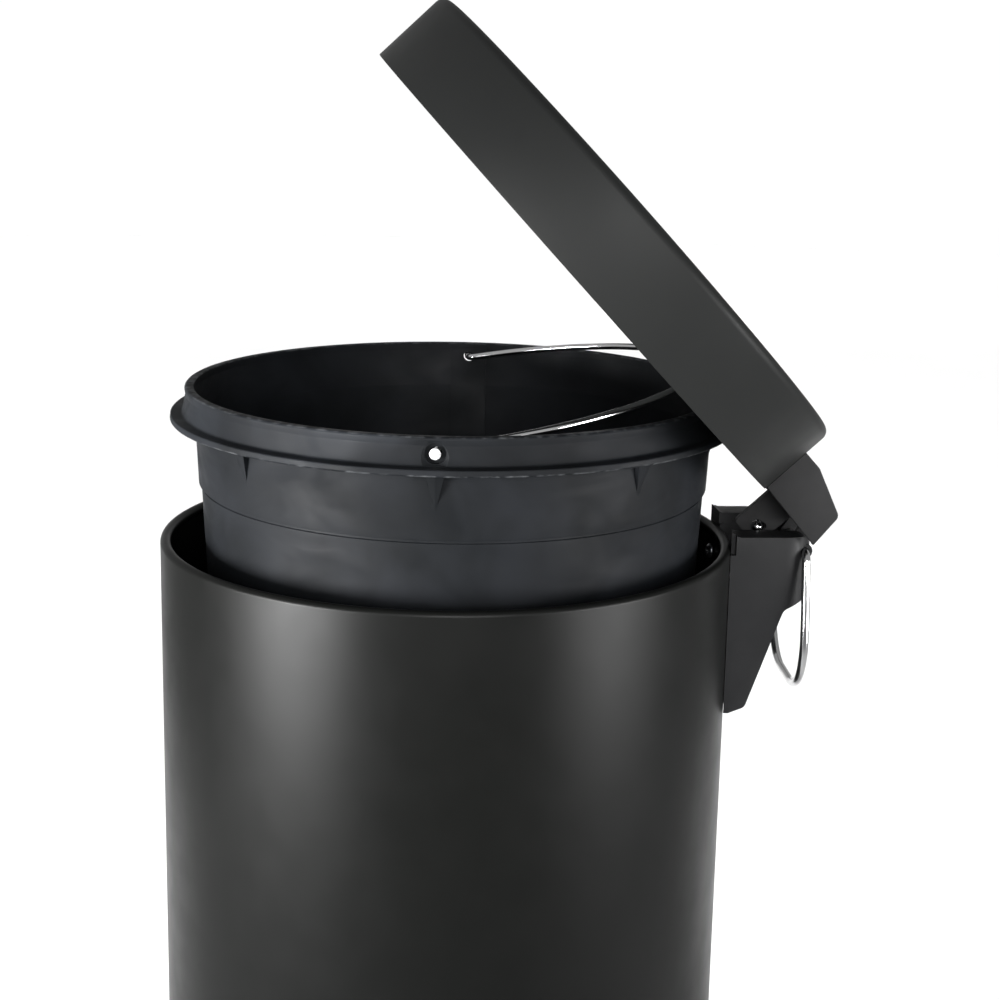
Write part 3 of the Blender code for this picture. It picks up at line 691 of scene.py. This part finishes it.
def base_pan():
    """The plastic pan that closes the can below, with two posts for the lever's pin."""
    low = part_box("base_pan")[0].z
    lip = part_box("base_pan")[1].x
    wall = BODY_RADIUS - STEEL - GAP
    plate_top, wall_top, lip_top = 0.0050, 0.0140, 0.0082
    corners = [
        (0, plate_top, 0),
        (wall - 0.0025, plate_top, 0.0012),
        (wall - 0.0025, wall_top, 0.0006),
        (wall, wall_top, 0.0006),
        (wall, lip_top, 0.0001),
        (lip, lip_top, 0.0005),
        (lip, 0.0035, 0.0008),
        (lip - 0.0015, low, 0.0008),
        (0.0945, low, 0.0006),
        (0.0935, low + 0.0008, 0.0004),
        (0.0, low + 0.0008, 0),
    ]
    pan = turned("base_pan_moulding", corners, 192, 4)
    outline = [(LEVER.y - 0.012, 0.003), (LEVER.y + 0.012, 0.003)]
    outline += arc((LEVER.y, LEVER.z), 0.0065, 0, 180, 16)
    join(pan, *(slab("post", outline, *mirrored(side, 0.0130, 0.0190)) for side in (-1, 1)))
    cut(pan, crossbar("pin_hole", 0.03, LEVER.y, LEVER.z, LEVER_BORE))
    finish_piece(pan, "can", BASE_PLASTIC, "base_pan")


def feet():
    """Four rubber pads, each dished underneath."""
    for index in range(4):
        name = f"foot_{index + 1}"
        low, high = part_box(name)
        centre = (low + high) / 2
        radius = (high.x - low.x) / 2
        top, dish = high.z, 0.0005
        corners = [
            (0, top, 0),
            (radius, top, 0.0002),
            (radius, 0.0008, 0.0004),
            (radius - 0.0007, 0, 0.0004),
            (radius * 0.62, 0, 0.0003),
            (radius * 0.56, dish, 0.0002),
            (0, dish, 0),
        ]
        foot = turned(name + "_pad", corners, 64, 4)
        place(foot, Matrix.Translation((centre.x, centre.y, 0)))
        finish_piece(foot, "can", RUBBER, name)


ROD_RADIUS = 0.0016
ROD_LOW_Y = 0.1165


def rod_guide():
    """A strap on the inside of the wall, bent inwards to an eye for the push rod."""
    low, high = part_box("rod_guide")
    wall = BODY_RADIUS - STEEL - GAP
    outline = arc((0, 0), wall, 81.5, 98.5, 10)
    outline += fillet(
        [(-0.018, 0.1205, 0), (-0.006, 0.1190, 0.002), (-0.0045, 0.1125, 0.002)]
        + [(0.0045, 0.1125, 0.002), (0.006, 0.1190, 0.002), (0.018, 0.1205, 0)]
    )[1:]
    guide = slab("rod_guide_strap", outline, low.z, high.z, "Z")
    eye = drum("eye", (0, ROD_LOW_Y, low.z - 0.01), (0, ROD_LOW_Y, high.z + 0.01), ROD_RADIUS + 0.0004)
    cut(guide, eye)
    soften(guide, 0.0003, 2)
    finish_piece(guide, "can", ZINC, "rod_guide")


# ---- rear hinge ----


HOUSING_HALF = 0.0290
HOUSING_WALL = 0.0020
HOUSING_REAR = 0.1586
HOUSING_CORNER = 0.0125
HANDLE_RADIUS = 0.0019
PIN_RADIUS = 0.00175
SCREW_RADIUS = 0.0014
SLOT_HALF = 0.0160
WEB = 0.0022
SKIN = 0.0022  # the housing's wall against the can
HOUSING_FRONT = 0.1100


def can_cutter(radius):
    """A stand-in for the can, to fit the housing to its wall."""
    low, high = 0.2, 0.44
    return drum("can", (0, 0, low), (0, 0, high), radius, 256)


def housing_block(name, inset=0.0, edge=0.0):
    """The housing's outside, or the hollow inside it."""
    rear = HOUSING_REAR - inset
    high = RIM_Z + 0.0050 - inset
    step_z = RIM_Z - 0.0224 + inset
    foot = RIM_Z - 0.0750 + inset
    side = [
        (HOUSING_FRONT, high, 0),
        (0.1216, high + 0.0020, 0.003),
        (0.1255, high, 0.003),
        (rear, high, 0.0068 - inset),
        (rear, step_z, 0.0010),
        (0.1464 - inset, step_z - 0.0054, 0.004),
        (0.1312 - inset, RIM_Z - 0.0722 + inset, 0.003),
        (0.1240, foot, 0.002),
        (HOUSING_FRONT, foot, 0),
    ]
    half = HOUSING_HALF - inset
    corner = HOUSING_CORNER - inset
    plan = [(half, HOUSING_FRONT, 0), (half, rear, corner), (-half, rear, corner), (-half, HOUSING_FRONT, 0)]
    made = slab(name, fillet(side, count=8), -0.04, 0.04)
    low, up = RIM_Z - 0.10, RIM_Z + 0.06
    combine(made, [slab("plan", fillet(plan, count=14), low, up, "Z")], "INTERSECT")
    if edge:
        soften(made, edge, 3)
    return made


def housing_hollow():
    """The space inside the housing, less the skin against the can and a web at each side of the arm."""
    cutters = [can_cutter(BODY_RADIUS + GAP + SKIN)]
    for side in (-1, 1):
        near, far = mirrored(side, SLOT_HALF, SLOT_HALF + WEB)
        cutters.append(block("web", (near, 0.11, RIM_Z - 0.0300), (far, 0.17, RIM_Z + 0.02)))
    return cut(housing_block("hollow", HOUSING_WALL), *cutters)


def hinge_housing():
    """A moulded housing with a roof, a slot through it for the lid's arm, and bosses for the hinge."""
    housing = housing_block("hinge_housing_moulding", edge=0.0011)
    cut(housing, housing_hollow())
    bosses = radial("boss", HOUSING_SPOTS, 0.1262, 0.1340, 0.0034, 32)
    for side in (-1, 1):
        ends = [(side * x, HINGE.y, HINGE.z) for x in (SLOT_HALF + 0.0005, 0.0245)]
        bosses.append(drum("pin_boss", *ends, 0.0036, 40))
        ends = [(side * x, HINGE.y, HINGE.z) for x in (0.0200, 0.0257)]
        bosses.append(drum("wire_boss", *ends, 0.0030, 40))
    join(housing, *bosses)
    slot, window = SLOT_HALF, 0.0145
    cutters = [
        can_cutter(BODY_RADIUS + GAP),
        block("arm_window", (-window, 0.11, RIM_Z - 0.0580), (window, 0.1300, RIM_Z + 0.02)),
        block("roof_slot", (-slot, 0.12, RIM_Z), (slot, 0.1510, RIM_Z + 0.02)),
        block("lug_gap", (-slot, 0.1500, HINGE.z - 0.0070), (slot, 0.1700, RIM_Z + 0.03)),
        crossbar("axle", 0.04, HINGE.y, HINGE.z, HANDLE_RADIUS + GAP, 32),
    ]
    for side in (-1, 1):
        near, far = mirrored(side, 0.0266, 0.0310)
        cutters.append(block("relief", (near, 0.115, RIM_Z - 0.0030), (far, 0.1243, RIM_Z + 0.0080)))
    cutters += radial("bore", HOUSING_SPOTS, 0.120, 0.1330, SCREW_BORE)
    cut(housing, *cutters)
    finish_piece(housing, "can", HOUSING_PLASTIC, "hinge_housing", 30)


def pin(node, half, axis, radius):
    """A turned pin along X through a joint's axis, as long to each side as the half."""
    made = shaft(node + "_turned", (-half, axis.y, axis.z), (half, axis.y, axis.z), radius)
    finish_piece(made, "can", ZINC, node)


def screw(name, seat, outward, length):
    """A cross-recessed pan-head screw, its head's flat face at the seat, driven along a direction."""
    head, thick, crown = 0.0034, 0.0019, 0.62
    corners = [
        (0, thick, 0),
        (head * crown, thick, 0.0016),
        (head, 0.0007, 0.0008),
        (head, 0, 0.0002),
        (SCREW_RADIUS, 0, 0.0001),
        (SCREW_RADIUS, -length + 0.0015, 0.0004),
        (0.0002, -length, 0),
        (0, -length, 0),
    ]
    made = turned(name, corners, 48)
    half, reach, depth = 0.00042, 0.0017, 0.0010
    cross = []
    for x, y in ((reach, half), (half, reach)):
        cross.append(block("recess", (-x, -y, thick - depth), (x, y, thick + 0.001)))
    cut(made, *cross)
    turn = (-Vector(outward)).to_track_quat("Z", "X").to_matrix().to_4x4()
    place(made, Matrix.Translation(seat) @ turn)
    return made


def housing_screws():
    """Three screws from inside the can into the housing's bosses."""
    for name, angle, z in HOUSING_SCREWS:
        seat = around(BODY_RADIUS - STEEL - 2 * GAP, angle, z)
        made = screw(name + "_pan_head", seat, around(1, angle, 0), 0.0080)
        finish_piece(made, "can", ZINC, name, 35)


# ---- lid ----


LID_RADIUS = 0.1236
LID_STEEL = 0.0007
LID_SEAT = 0.0032
LID_TOP = LID_SEAT + 0.0365
LID_DOME = 0.0028
LID_SHOULDER = 0.0042
BRACKET_SPOTS = [(side * math.radians(9.5), 0.0160) for side in (-1, 1)]  # the screws' angle, height
HOOD_HALF = 0.0317
HOOD_WALL = 0.0020
CHEEKS = (0.0085, 0.0115)
ARM = 0.0200
ARM_ANGLE = math.radians(24.3)  # the arm's angle on the open lid
ARM_LEVEL = ARM_ANGLE - LID_OPEN  # and on the closed one


def lid_shell():
    """The painted lid: a slight dome, a rounded shoulder and a skirt."""
    flat = LID_RADIUS - LID_SHOULDER

    def crown(r, drop):
        return LID_TOP + LID_DOME * (1 - (r / flat) ** 2) - drop

    count = 16
    rings = [flat * k / count for k in range(count)]
    profile = [(r, crown(r, 0)) for r in rings]
    profile += arc((flat, LID_TOP - LID_SHOULDER), LID_SHOULDER, 90, 0, 12)
    profile += [(LID_RADIUS, LID_SEAT + 0.00035), (LID_RADIUS - 0.0001, LID_SEAT + 0.0001)]
    profile += [(LID_RADIUS - 0.0003, LID_SEAT), (LID_RADIUS - LID_STEEL, LID_SEAT + 0.0002)]
    profile += arc((flat, LID_TOP - LID_SHOULDER), LID_SHOULDER - LID_STEEL, 0, 90, 12)
    profile += [(r, crown(r, LID_STEEL)) for r in reversed(rings)]
    lid = lathe("lid_shell_skin", profile, 288)
    cut(lid, *radial("hole", BRACKET_SPOTS, 0.11, 0.13, SCREW_HOLE))
    place(lid, LID)
    # The lid gets the lighter copy of the charcoal paint, which stands in for light on it.
    finish_piece(lid, "lid", LIT_LID_PAINT, "lid_shell")


def cheek_outline(side):
    """An inner plate. The +X one drops down as the arm for the rod's hook."""
    lug = arc((HINGE.y, HINGE_UP), 0.0040, 172, 405, 36) + [(0.1505, 0.0080), (0.1505, 0.0180)]
    lug_front, lug_low, arm_low = 0.1430, 0.0036, -0.0162
    if side < 0:
        return [(lug_front, 0.0205), (lug_front, lug_low), (0.1496, lug_low)] + lug
    arm = [
        (0.1278, 0.0250, 0),
        (0.1278, arm_low, 0.0016),
        (0.1400, arm_low, 0.0010),
        (lug_front, -0.0128, 0.0010),
        (lug_front, lug_low, 0.0020),
        (0.1496, lug_low, 0),
    ]
    return fillet(arm, closed=False) + lug + [(0.1290, 0.0250)]


def bracket_hood(inside):
    """The cap behind the lid, open below and hollow as far as the inside reaches to each side."""
    side = [
        (0.1120, 0.0044, 0),
        (0.1120, 0.0266, 0),
        (0.1290, 0.0264, 0.0030),
        (0.1512, 0.0190, 0.0032),
        (0.1533, 0.0024, 0.0006),
    ]
    hood = slab("lid_bracket_hood", fillet(side), -HOOD_HALF, HOOD_HALF)
    soften(hood, 0.0011, 3)
    cavity = [
        (0.1262, -0.01, 0),
        (0.1262, 0.0246, 0.0010),
        (0.1288, 0.0244, 0.0020),
        (0.1492, 0.0176, 0.0020),
        (0.1510, -0.01, 0),
    ]
    return cut(hood, slab("cavity", fillet(cavity), -inside, inside))


def round_ended(middle, long_half, half):
    """A slot's outline along the first axis, its ends all but half circles."""
    radius = half * 0.98
    corners = [(middle + long_half, half, radius), (middle - long_half, half, radius)]
    corners += [(middle - long_half, -half, radius), (middle + long_half, -half, radius)]
    return fillet(corners)


def hook_slot():
    """The slot in the arm that takes the rod's hook and its small lean."""
    slot = slab("hook_slot", round_ended(0, ROD_RADIUS + 0.0018, ROD_RADIUS + 0.0008), -0.03, 0.03)
    reach = ARM - 0.0004
    centre = (0, HINGE.y - reach * math.cos(ARM_LEVEL), HINGE_UP + reach * math.sin(ARM_LEVEL))
    return place(slot, Matrix.Translation(centre) @ Matrix.Rotation(-ARM_LEVEL, 4, "X"))


def lid_bracket():
    """The hood behind the lid with two plates inside, which carry the hinge."""
    inside, clear_z = HOOD_HALF - HOOD_WALL, 0.0076
    near, far = CHEEKS
    hood = bracket_hood(inside)
    join(hood, *(slab("cheek", cheek_outline(side), *mirrored(side, near, far)) for side in (-1, 1)))
    cutters = [drum("skirt", (0, 0, -0.02), (0, 0, 0.06), LID_RADIUS + GAP, 256)]
    cutters.append(block("front_gap", (-inside, 0.10, 0), (inside, 0.1264, clear_z)))
    for left, right in ((-inside, -far), (-near, near), (far, inside)):
        cutters.append(block("back_gap", (left, 0.1485, 0), (right, 0.16, clear_z)))
    cutters.append(crossbar("axle", 0.03, HINGE.y, HINGE_UP, PIN_RADIUS + GAP, 32))
    cutters.append(hook_slot())
    cutters += radial("bore", BRACKET_SPOTS, 0.12, 0.135, SCREW_BORE)
    cut(hood, *cutters)
    place(hood, LID)
    finish_piece(hood, "lid", HOOD_PLASTIC, "lid_bracket", 30)


def bracket_screws():
    """Two screws from inside the lid's skirt into the hood."""
    for index, (angle, z) in enumerate(reversed(BRACKET_SPOTS)):
        seat = around(LID_RADIUS - LID_STEEL - GAP, angle, z)
        name = f"bracket_screw_{index + 1}"
        made = screw(name + "_pan_head", seat, around(1, angle, 0), 0.0068)
        place(made, LID)
        finish_piece(made, "lid", ZINC, name, 35)


# ---- pedal linkage ----


PEDAL_FRONT = 0.1885
STRAP = 0.0025
STRAP_HALF = 0.0100
LEVER_REACH = ROD_LOW_Y - LEVER.y


def pedal_lever():
    """The steel lever, drawn level about its pin: a plate in front, a hub and an ear for the rod."""
    front = -(PEDAL_FRONT - 0.0035)
    neck, plate_half = front + 0.030, 0.0200
    right = [
        (STRAP_HALF, 0.0850, 0.002),
        (STRAP_HALF, neck + 0.006, 0.006),
        (plate_half, neck, 0.004),
        (plate_half, front, 0.008),
    ]
    outline = right + [(-x, y, r) for x, y, r in reversed(right)]
    lever = slab("pedal_lever_strap", fillet(outline), -STRAP / 2, STRAP / 2, "Z")
    soften(lever, 0.0005, 3)
    hub = crossbar("hub", STRAP_HALF, 0, 0, 0.0058, 64)
    near, far, half = 0.0780, 0.1035, 0.0060
    outline = [(near, -half, 0.001), (far, -half, 0.004), (far, half, 0.004), (near, half, 0.001)]
    join(lever, hub, slab("rod_ear", fillet(outline), 0.0040, 0.0065))
    slot = slab("hook_slot", round_ended(LEVER_REACH, 0.0030, 0.0020), 0.001, 0.009)
    cut(lever, crossbar("hub_bore", 0.02, 0, 0, LEVER_BORE), slot)
    place(lever, PEDAL)
    finish_piece(lever, "pedal", ZINC, "pedal_lever")


def pedal_pad():
    """The plastic shoe that covers the pedal plate, with ribs for grip."""
    front, rear = -PEDAL_FRONT, -(PEDAL_FRONT - 0.0330)
    half, low, high = 0.0245, -0.0050, 0.0060
    plan = [(-half, front, 0.007), (half, front, 0.007), (half, rear, 0.003), (-half, rear, 0.003)]
    pad = slab("pedal_pad_shoe", fillet(plan, count=8), low, high - 0.0007, "Z")
    soften(pad, 0.0024, 5, 60)
    reach, pitch, width, corner = half - 0.0045, 0.0046, 0.0016, 0.0006
    ribs = []
    for index in range(6):
        y = front + 0.0052 + index * pitch
        far = y + width
        rib = [(-reach, y, corner), (reach, y, corner), (reach, far, corner), (-reach, far, corner)]
        ribs.append(soften(slab("rib", fillet(rib), high - 0.0020, high, "Z"), 0.0004, 2, 60))
    join(pad, gather("ribs", ribs))
    side, back = 0.0200 + GAP, rear + 0.01
    pocket = block("pocket", (-side, front + 0.0032, -STRAP / 2 - GAP), (side, back, STRAP / 2 + GAP))
    cut(pad, pocket)
    place(pad, PEDAL)
    finish_piece(pad, "pedal", BASE_PLASTIC, "pedal_pad")


ROD_Y = HINGE.y - 0.0191
ROD_END = 0.0131
HOOK_Z = HINGE.z + ARM * math.sin(ARM_ANGLE)


def push_rod():
    """The bent wire from the lever's ear up the rear wall to the lid's arm."""
    low = LEVER.z + LEVER_REACH * math.sin(LEVER_TILT)
    jog_top = HOOK_Z - 0.0215
    corners = [
        (ROD_END, ROD_Y, HOOK_Z),
        (0, ROD_Y, HOOK_Z),
        (0, ROD_Y, jog_top),
        (0, ROD_LOW_Y, jog_top - (ROD_Y - ROD_LOW_Y) * 1.1),
        (0, ROD_LOW_Y, low),
        (0.0095, ROD_LOW_Y, low),
    ]
    rod = bar("push_rod_wire", bent(corners, [0.0035] * 4), ROD_RADIUS)
    finish_piece(rod, "rod", ZINC, "push_rod")


def rod_cap():
    """The domed cap that holds the rod's hook in the arm."""
    outer, socket, low, end = 0.0024, ROD_RADIUS + GAP, -0.0014, 0.0004
    profile = arc((0, 0), outer, 90, 0, 12)
    profile[0] = (0, outer)
    profile += [(outer, -0.0012), (outer - 0.0002, low), (socket, low), (socket, end), (0, end)]
    cap = lathe("rod_cap_dome", profile, 48)
    place(cap, Matrix.Translation((ROD_END, ROD_Y, HOOK_Z)) @ Matrix.Rotation(math.pi / 2, 4, "Y"))
    finish_piece(cap, "rod", CHROME, "rod_cap")


def carry_handle():
    """The wire loop on the hinge axis, hanging behind the housing."""
    right = [(0.0200, 0, 0), (0.0292, 0, 0), (0.0342, 0, -0.0310), (0.0355, 0, -0.0637)]
    radii = [0.0045, 0.0400, 0.0245]
    corners = right + [(-x, y, z) for x, y, z in reversed(right)]
    route = [point + HINGE for point in bent(corners, radii + radii[::-1], 20)]
    handle = bar("carry_handle_wire", route, HANDLE_RADIUS)
    finish_piece(handle, "handle", CHROME, "carry_handle")


# ---- bucket ----


BUCKET_DEPTH = 0.286
COLLAR = 0.1163
BAIL_RADIUS = 0.0015
BAIL_HEAD = 0.00225
BAIL_TILT = math.radians(9.5)


def bucket_profile():
    """The bucket's section, up its inside and down its outside. Heights are from the flange's underside."""
    wall, top, foot, low = 0.0020, COLLAR_HEIGHT, 0.0950, -BUCKET_DEPTH
    corners = [
        (0, low + wall, 0),
        (foot - wall, low + wall, 0.008),
        (0.1058, -0.0600, 0.004),
        (0.1071, -0.0410, 0.0003),
        (0.1074, -0.0408, 0.0003),
        (0.1084, -0.0250, 0.004),
        (0.1091, -0.0060, 0.008),
        (0.1122, top - 0.0034, 0.003),
        (COLLAR - 0.0042, top, 0.0006),
        (COLLAR, top, 0.0011),
        (COLLAR - 0.0006, top - 0.0034, 0.002),
        (COLLAR + 0.0002, 0.0066, 0.002),
        (COLLAR + 0.0009, 0.0030, 0.0010),
        (FLANGE - 0.0003, 0.0028, 0.0006),
        (FLANGE, 0.0000, 0.0008),
        (0.1118, 0.0, 0.0012),
        (0.1105, -0.0276, 0.0002),
        (0.1088, -0.0279, 0.0001),
        (0.1088, -0.0290, 0.0001),
        (0.1093, -0.0293, 0.0002),
        (0.1078, -0.0600, 0.004),
        (foot, low, 0.010),
        (0, low, 0),
    ]
    return closer(fillet(corners, closed=False, count=5), 0.004)


def gusset_end(bm, wall, flank, ridge, half, z):
    """One end of a gusset, from the wall over its ridge and back."""
    spots = [(wall, -half, z), (flank, -half, z), (ridge, 0, z), (flank, half, z), (wall, half, z)]
    return [bm.verts.new(spot) for spot in spots]


def gusset(angle):
    """A V-shaped rib under the flange with a ridge down its middle."""
    bm = bmesh.new()
    upper = gusset_end(bm, 0.1110, 0.1156, 0.1162, 0.0040, 0.0010)
    lower = gusset_end(bm, 0.1100, 0.1110, 0.1113, 0.0005, -0.0140)
    bm.faces.new(upper)
    bm.faces.new(lower)
    for index in range(len(upper)):
        after = (index + 1) % len(upper)
        bm.faces.new([upper[index], upper[after], lower[after], lower[index]])
    bmesh.ops.rotate(bm, verts=bm.verts, matrix=Matrix.Rotation(angle, 3, "Z"))
    return from_bmesh("gusset", bm)


def bucket():
    """The lift-out bucket, with gussets under its flange and a strip and a hole for each lug."""
    pail = lathe("bucket_pail", bucket_profile(), 240)
    extras = [gusset(math.radians(45 * index)) for index in range(8)]
    for sign in (-1, 1):
        section = [(0.1064, -0.0440), (0.1078, -0.0440), (0.1096, -0.0100), (0.1130, 0.0040)]
        section += [(0.1130, 0.0105), (0.1112, 0.0125), (0.1102, 0.0105), (0.1098, 0.0030), (0.1079, -0.0050)]
        strip = slab("lug_strip", section, -0.0085, 0.0085)
        extras.append(place(strip, Matrix.Rotation(-sign * math.pi / 2, 4, "Z")))
    join(pail, *extras)
    cutters = []
    for sign in (-1, 1):
        through = [(sign * x, 0, LUG_UP) for x in (0.100, 0.125)]
        cutters.append(drum("lug_hole", *through, BAIL_HEAD + GAP, 40))
        pocket = [(sign * x, 0, LUG_UP) for x in (0.1137, 0.1190)]
        cutters.append(drum("lug_pocket", *pocket, 0.0041, 48))
        dish = [(sign * x, 0, LUG_UP) for x in (0.1155, 0.1172)]
        cutters.append(drum("lug_dish", *dish, 0.0044, 48, 0.0066))
    cut(pail, *cutters)
    place(pail, BUCKET)
    finish_piece(pail, "bucket", BUCKET_PLASTIC, "bucket", 30)


def bail():
    """The bucket's wire handle, thicker where its ends sit in the lugs, folded back to the rear."""
    end, bend, inside, reach = 0.1160, 0.0040, 0.1072, 0.1060
    half = [(end + 0.0004, 0), (end + 0.0002, 0), (end - 0.0010, 0), (end - 0.0014, 0), (inside + bend, 0)]
    radii = [BAIL_HEAD - 0.0003, BAIL_HEAD, BAIL_HEAD, BAIL_RADIUS, BAIL_RADIUS]
    bend_steps, arc_steps = 8, 40
    for step in range(1, bend_steps + 1):
        a = math.radians(90 * step / bend_steps)
        half.append((inside + bend - bend * math.sin(a), bend - bend * math.cos(a)))
    for step in range(1, arc_steps):
        a = math.radians(90 * step / arc_steps)
        half.append((inside * math.cos(a), bend + (reach - bend) * math.sin(a)))
    radii += [BAIL_RADIUS] * (len(half) - len(radii))
    route = half + [(0, reach)] + [(-x, y) for x, y in reversed(half)]
    loop = tube("bail_wire", [(x, y, 0) for x, y in route], radii + [BAIL_RADIUS] + radii[::-1], 24)
    tilt = Matrix.Translation((0, 0, LUG_UP)) @ Matrix.Rotation(BAIL_TILT, 4, "X")
    cut_faces = [face.index for face in loop.data.polygons if abs(face.center.x) > end + 0.0003]
    place(loop, BUCKET @ tilt)
    # The bail gets the brighter copy of the chrome, which stands in for light on the wire.
    finish_piece(loop, "bail", LIT_BAIL_CHROME, "bail")
    loop.data.materials.append(CUT_STEEL)
    for index in cut_faces:
        loop.data.polygons[index].material_index = 1


# ---- studio ----


RIM_DISTANCE = 0.8873  # camera to the middle of the rim
CAMERA_UP = math.radians(14.42)
CAMERA_TURN = math.radians(-2.37)  # of the whole view about the can, from +X
CAMERA_AIM = (math.radians(-1.51), math.radians(0.91), math.radians(-0.81))  # yaw, pitch, roll
LENS = 72.19
SENSOR = 36
DOME = 0.34  # how bright the grey dome is
BACKDROP = 1.02  # and the white low down behind the can


def camera():
    """Looks from the can's left side, slightly down."""
    turn = Matrix.Rotation(CAMERA_TURN, 3, "Z")
    eye = turn @ Vector((RIM_DISTANCE * math.cos(CAMERA_UP), 0, RIM_DISTANCE * math.sin(CAMERA_UP)))
    forward = -eye.normalized()
    right = forward.cross(Vector((0, 0, 1))).normalized()
    up = right.cross(forward)
    yaw, pitch, roll = CAMERA_AIM
    spin = Matrix.Rotation(yaw, 3, up)
    forward, right = spin @ forward, spin @ right
    spin = Matrix.Rotation(pitch, 3, right)
    forward, up = spin @ forward, spin @ up
    spin = Matrix.Rotation(roll, 3, forward)
    right, up = spin @ right, spin @ up
    axes = Matrix((right, up, -forward)).transposed()
    data = bpy.data.cameras.new("camera")
    data.lens = LENS
    data.sensor_width = SENSOR
    data.clip_start = 0.01
    obj = add_object("camera", data)
    obj.matrix_world = Matrix.Translation(eye + Vector((0, 0, RIM_Z))) @ axes.to_4x4()
    bpy.context.scene.camera = obj


def softbox(name, position, target, width, height, watts, spread):
    """A rectangular light aimed at a target, gridded down to a spread in degrees."""
    data = bpy.data.lights.new(name, "AREA")
    data.shape = "RECTANGLE"
    data.size = width
    data.size_y = height
    data.energy = watts
    data.spread = math.radians(spread)
    obj = add_object(name, data)
    obj.location = position
    obj.rotation_euler = (Vector(target) - Vector(position)).to_track_quat("-Z", "Y").to_euler()
    return obj


def sky():
    """A soft grey dome with a white backdrop low down behind the can."""
    world = bpy.data.worlds.new("studio")
    world.use_nodes = True
    tree = world.node_tree
    nodes, links = tree.nodes, tree.links
    direction = nodes.new("ShaderNodeTexCoord").outputs["Generated"]
    split = nodes.new("ShaderNodeSeparateXYZ")
    links.new(direction, split.inputs[0])
    behind = graded(tree, split.outputs["X"], -0.90, -0.95, 0, BACKDROP - DOME)
    low = graded(tree, split.outputs["Z"], 0.22, 0.03, 0, 1)
    white = nodes.new("ShaderNodeMath")
    white.operation = "MULTIPLY_ADD"
    white.inputs[2].default_value = DOME
    links.new(behind, white.inputs[0])
    links.new(low, white.inputs[1])
    links.new(white.outputs["Value"], nodes["Background"].inputs["Strength"])
    nodes["Background"].inputs["Color"].default_value = (1, 1, 1, 1)
    bpy.context.scene.world = world


def downlight(name, centre, width, depth, watts):
    """A gridded softbox straight above the paper, which lights only what is under it."""
    light = softbox(name, centre, (centre[0], centre[1], 0), width, depth, watts, 24)
    light.rotation_euler = (0, 0, 0)


def studio():
    """White paper under the can, the sky around it, and the lights."""
    sky()
    bpy.context.scene.view_settings.view_transform = "Standard"

    surface = Surface("paper", (0.80, 0.80, 0.80), 0.85, specular=0.2)
    surface.mottled(surface.noise(3, 3), (0.79, 0.79, 0.79), (0.81, 0.81, 0.81))
    bm = bmesh.new()
    bmesh.ops.create_circle(bm, cap_ends=True, segments=96, radius=4.5)
    floor = from_bmesh("floor", bm, recalculate=False)
    floor.data.materials.append(surface.material)

    # name, position, target, width, height, watts, spread
    softbox("left_box", (0.57, -1.07, 0.25), (0, 0, 0.22), 0.95, 0.46, 8.6, 50)
    softbox("right_box", (0.56, 1.06, 0.25), (0, 0, 0.22), 0.80, 0.46, 2.7, 50)
    softbox("front_box", (1.5, 0.1, 0.75), (0, 0.05, 0.42), 1.5, 0.5, 2.4, 40)
    # name, position, width, depth, watts
    downlight("near_light", (-0.72, 0.04, 0.80), 1.1, 1.3, 4.3)
    downlight("middle_light", (-2.2, 0.12, 1.4), 2.0, 2.7, 15.5)
    downlight("far_light", (-4.6, 0.2, 2.2), 3.0, 4.4, 40)


body_shell()
body_floor()
base_pan()
feet()
rod_guide()
hinge_housing()
pin("hinge_pin", 0.0195, HINGE, PIN_RADIUS)
housing_screws()
lid_shell()
lid_bracket()
bracket_screws()
pin("lever_pin", 0.0205, LEVER, LEVER_PIN_RADIUS)
pedal_lever()
pedal_pad()
push_rod()
rod_cap()
carry_handle()
bucket()
bail()
camera()
studio()
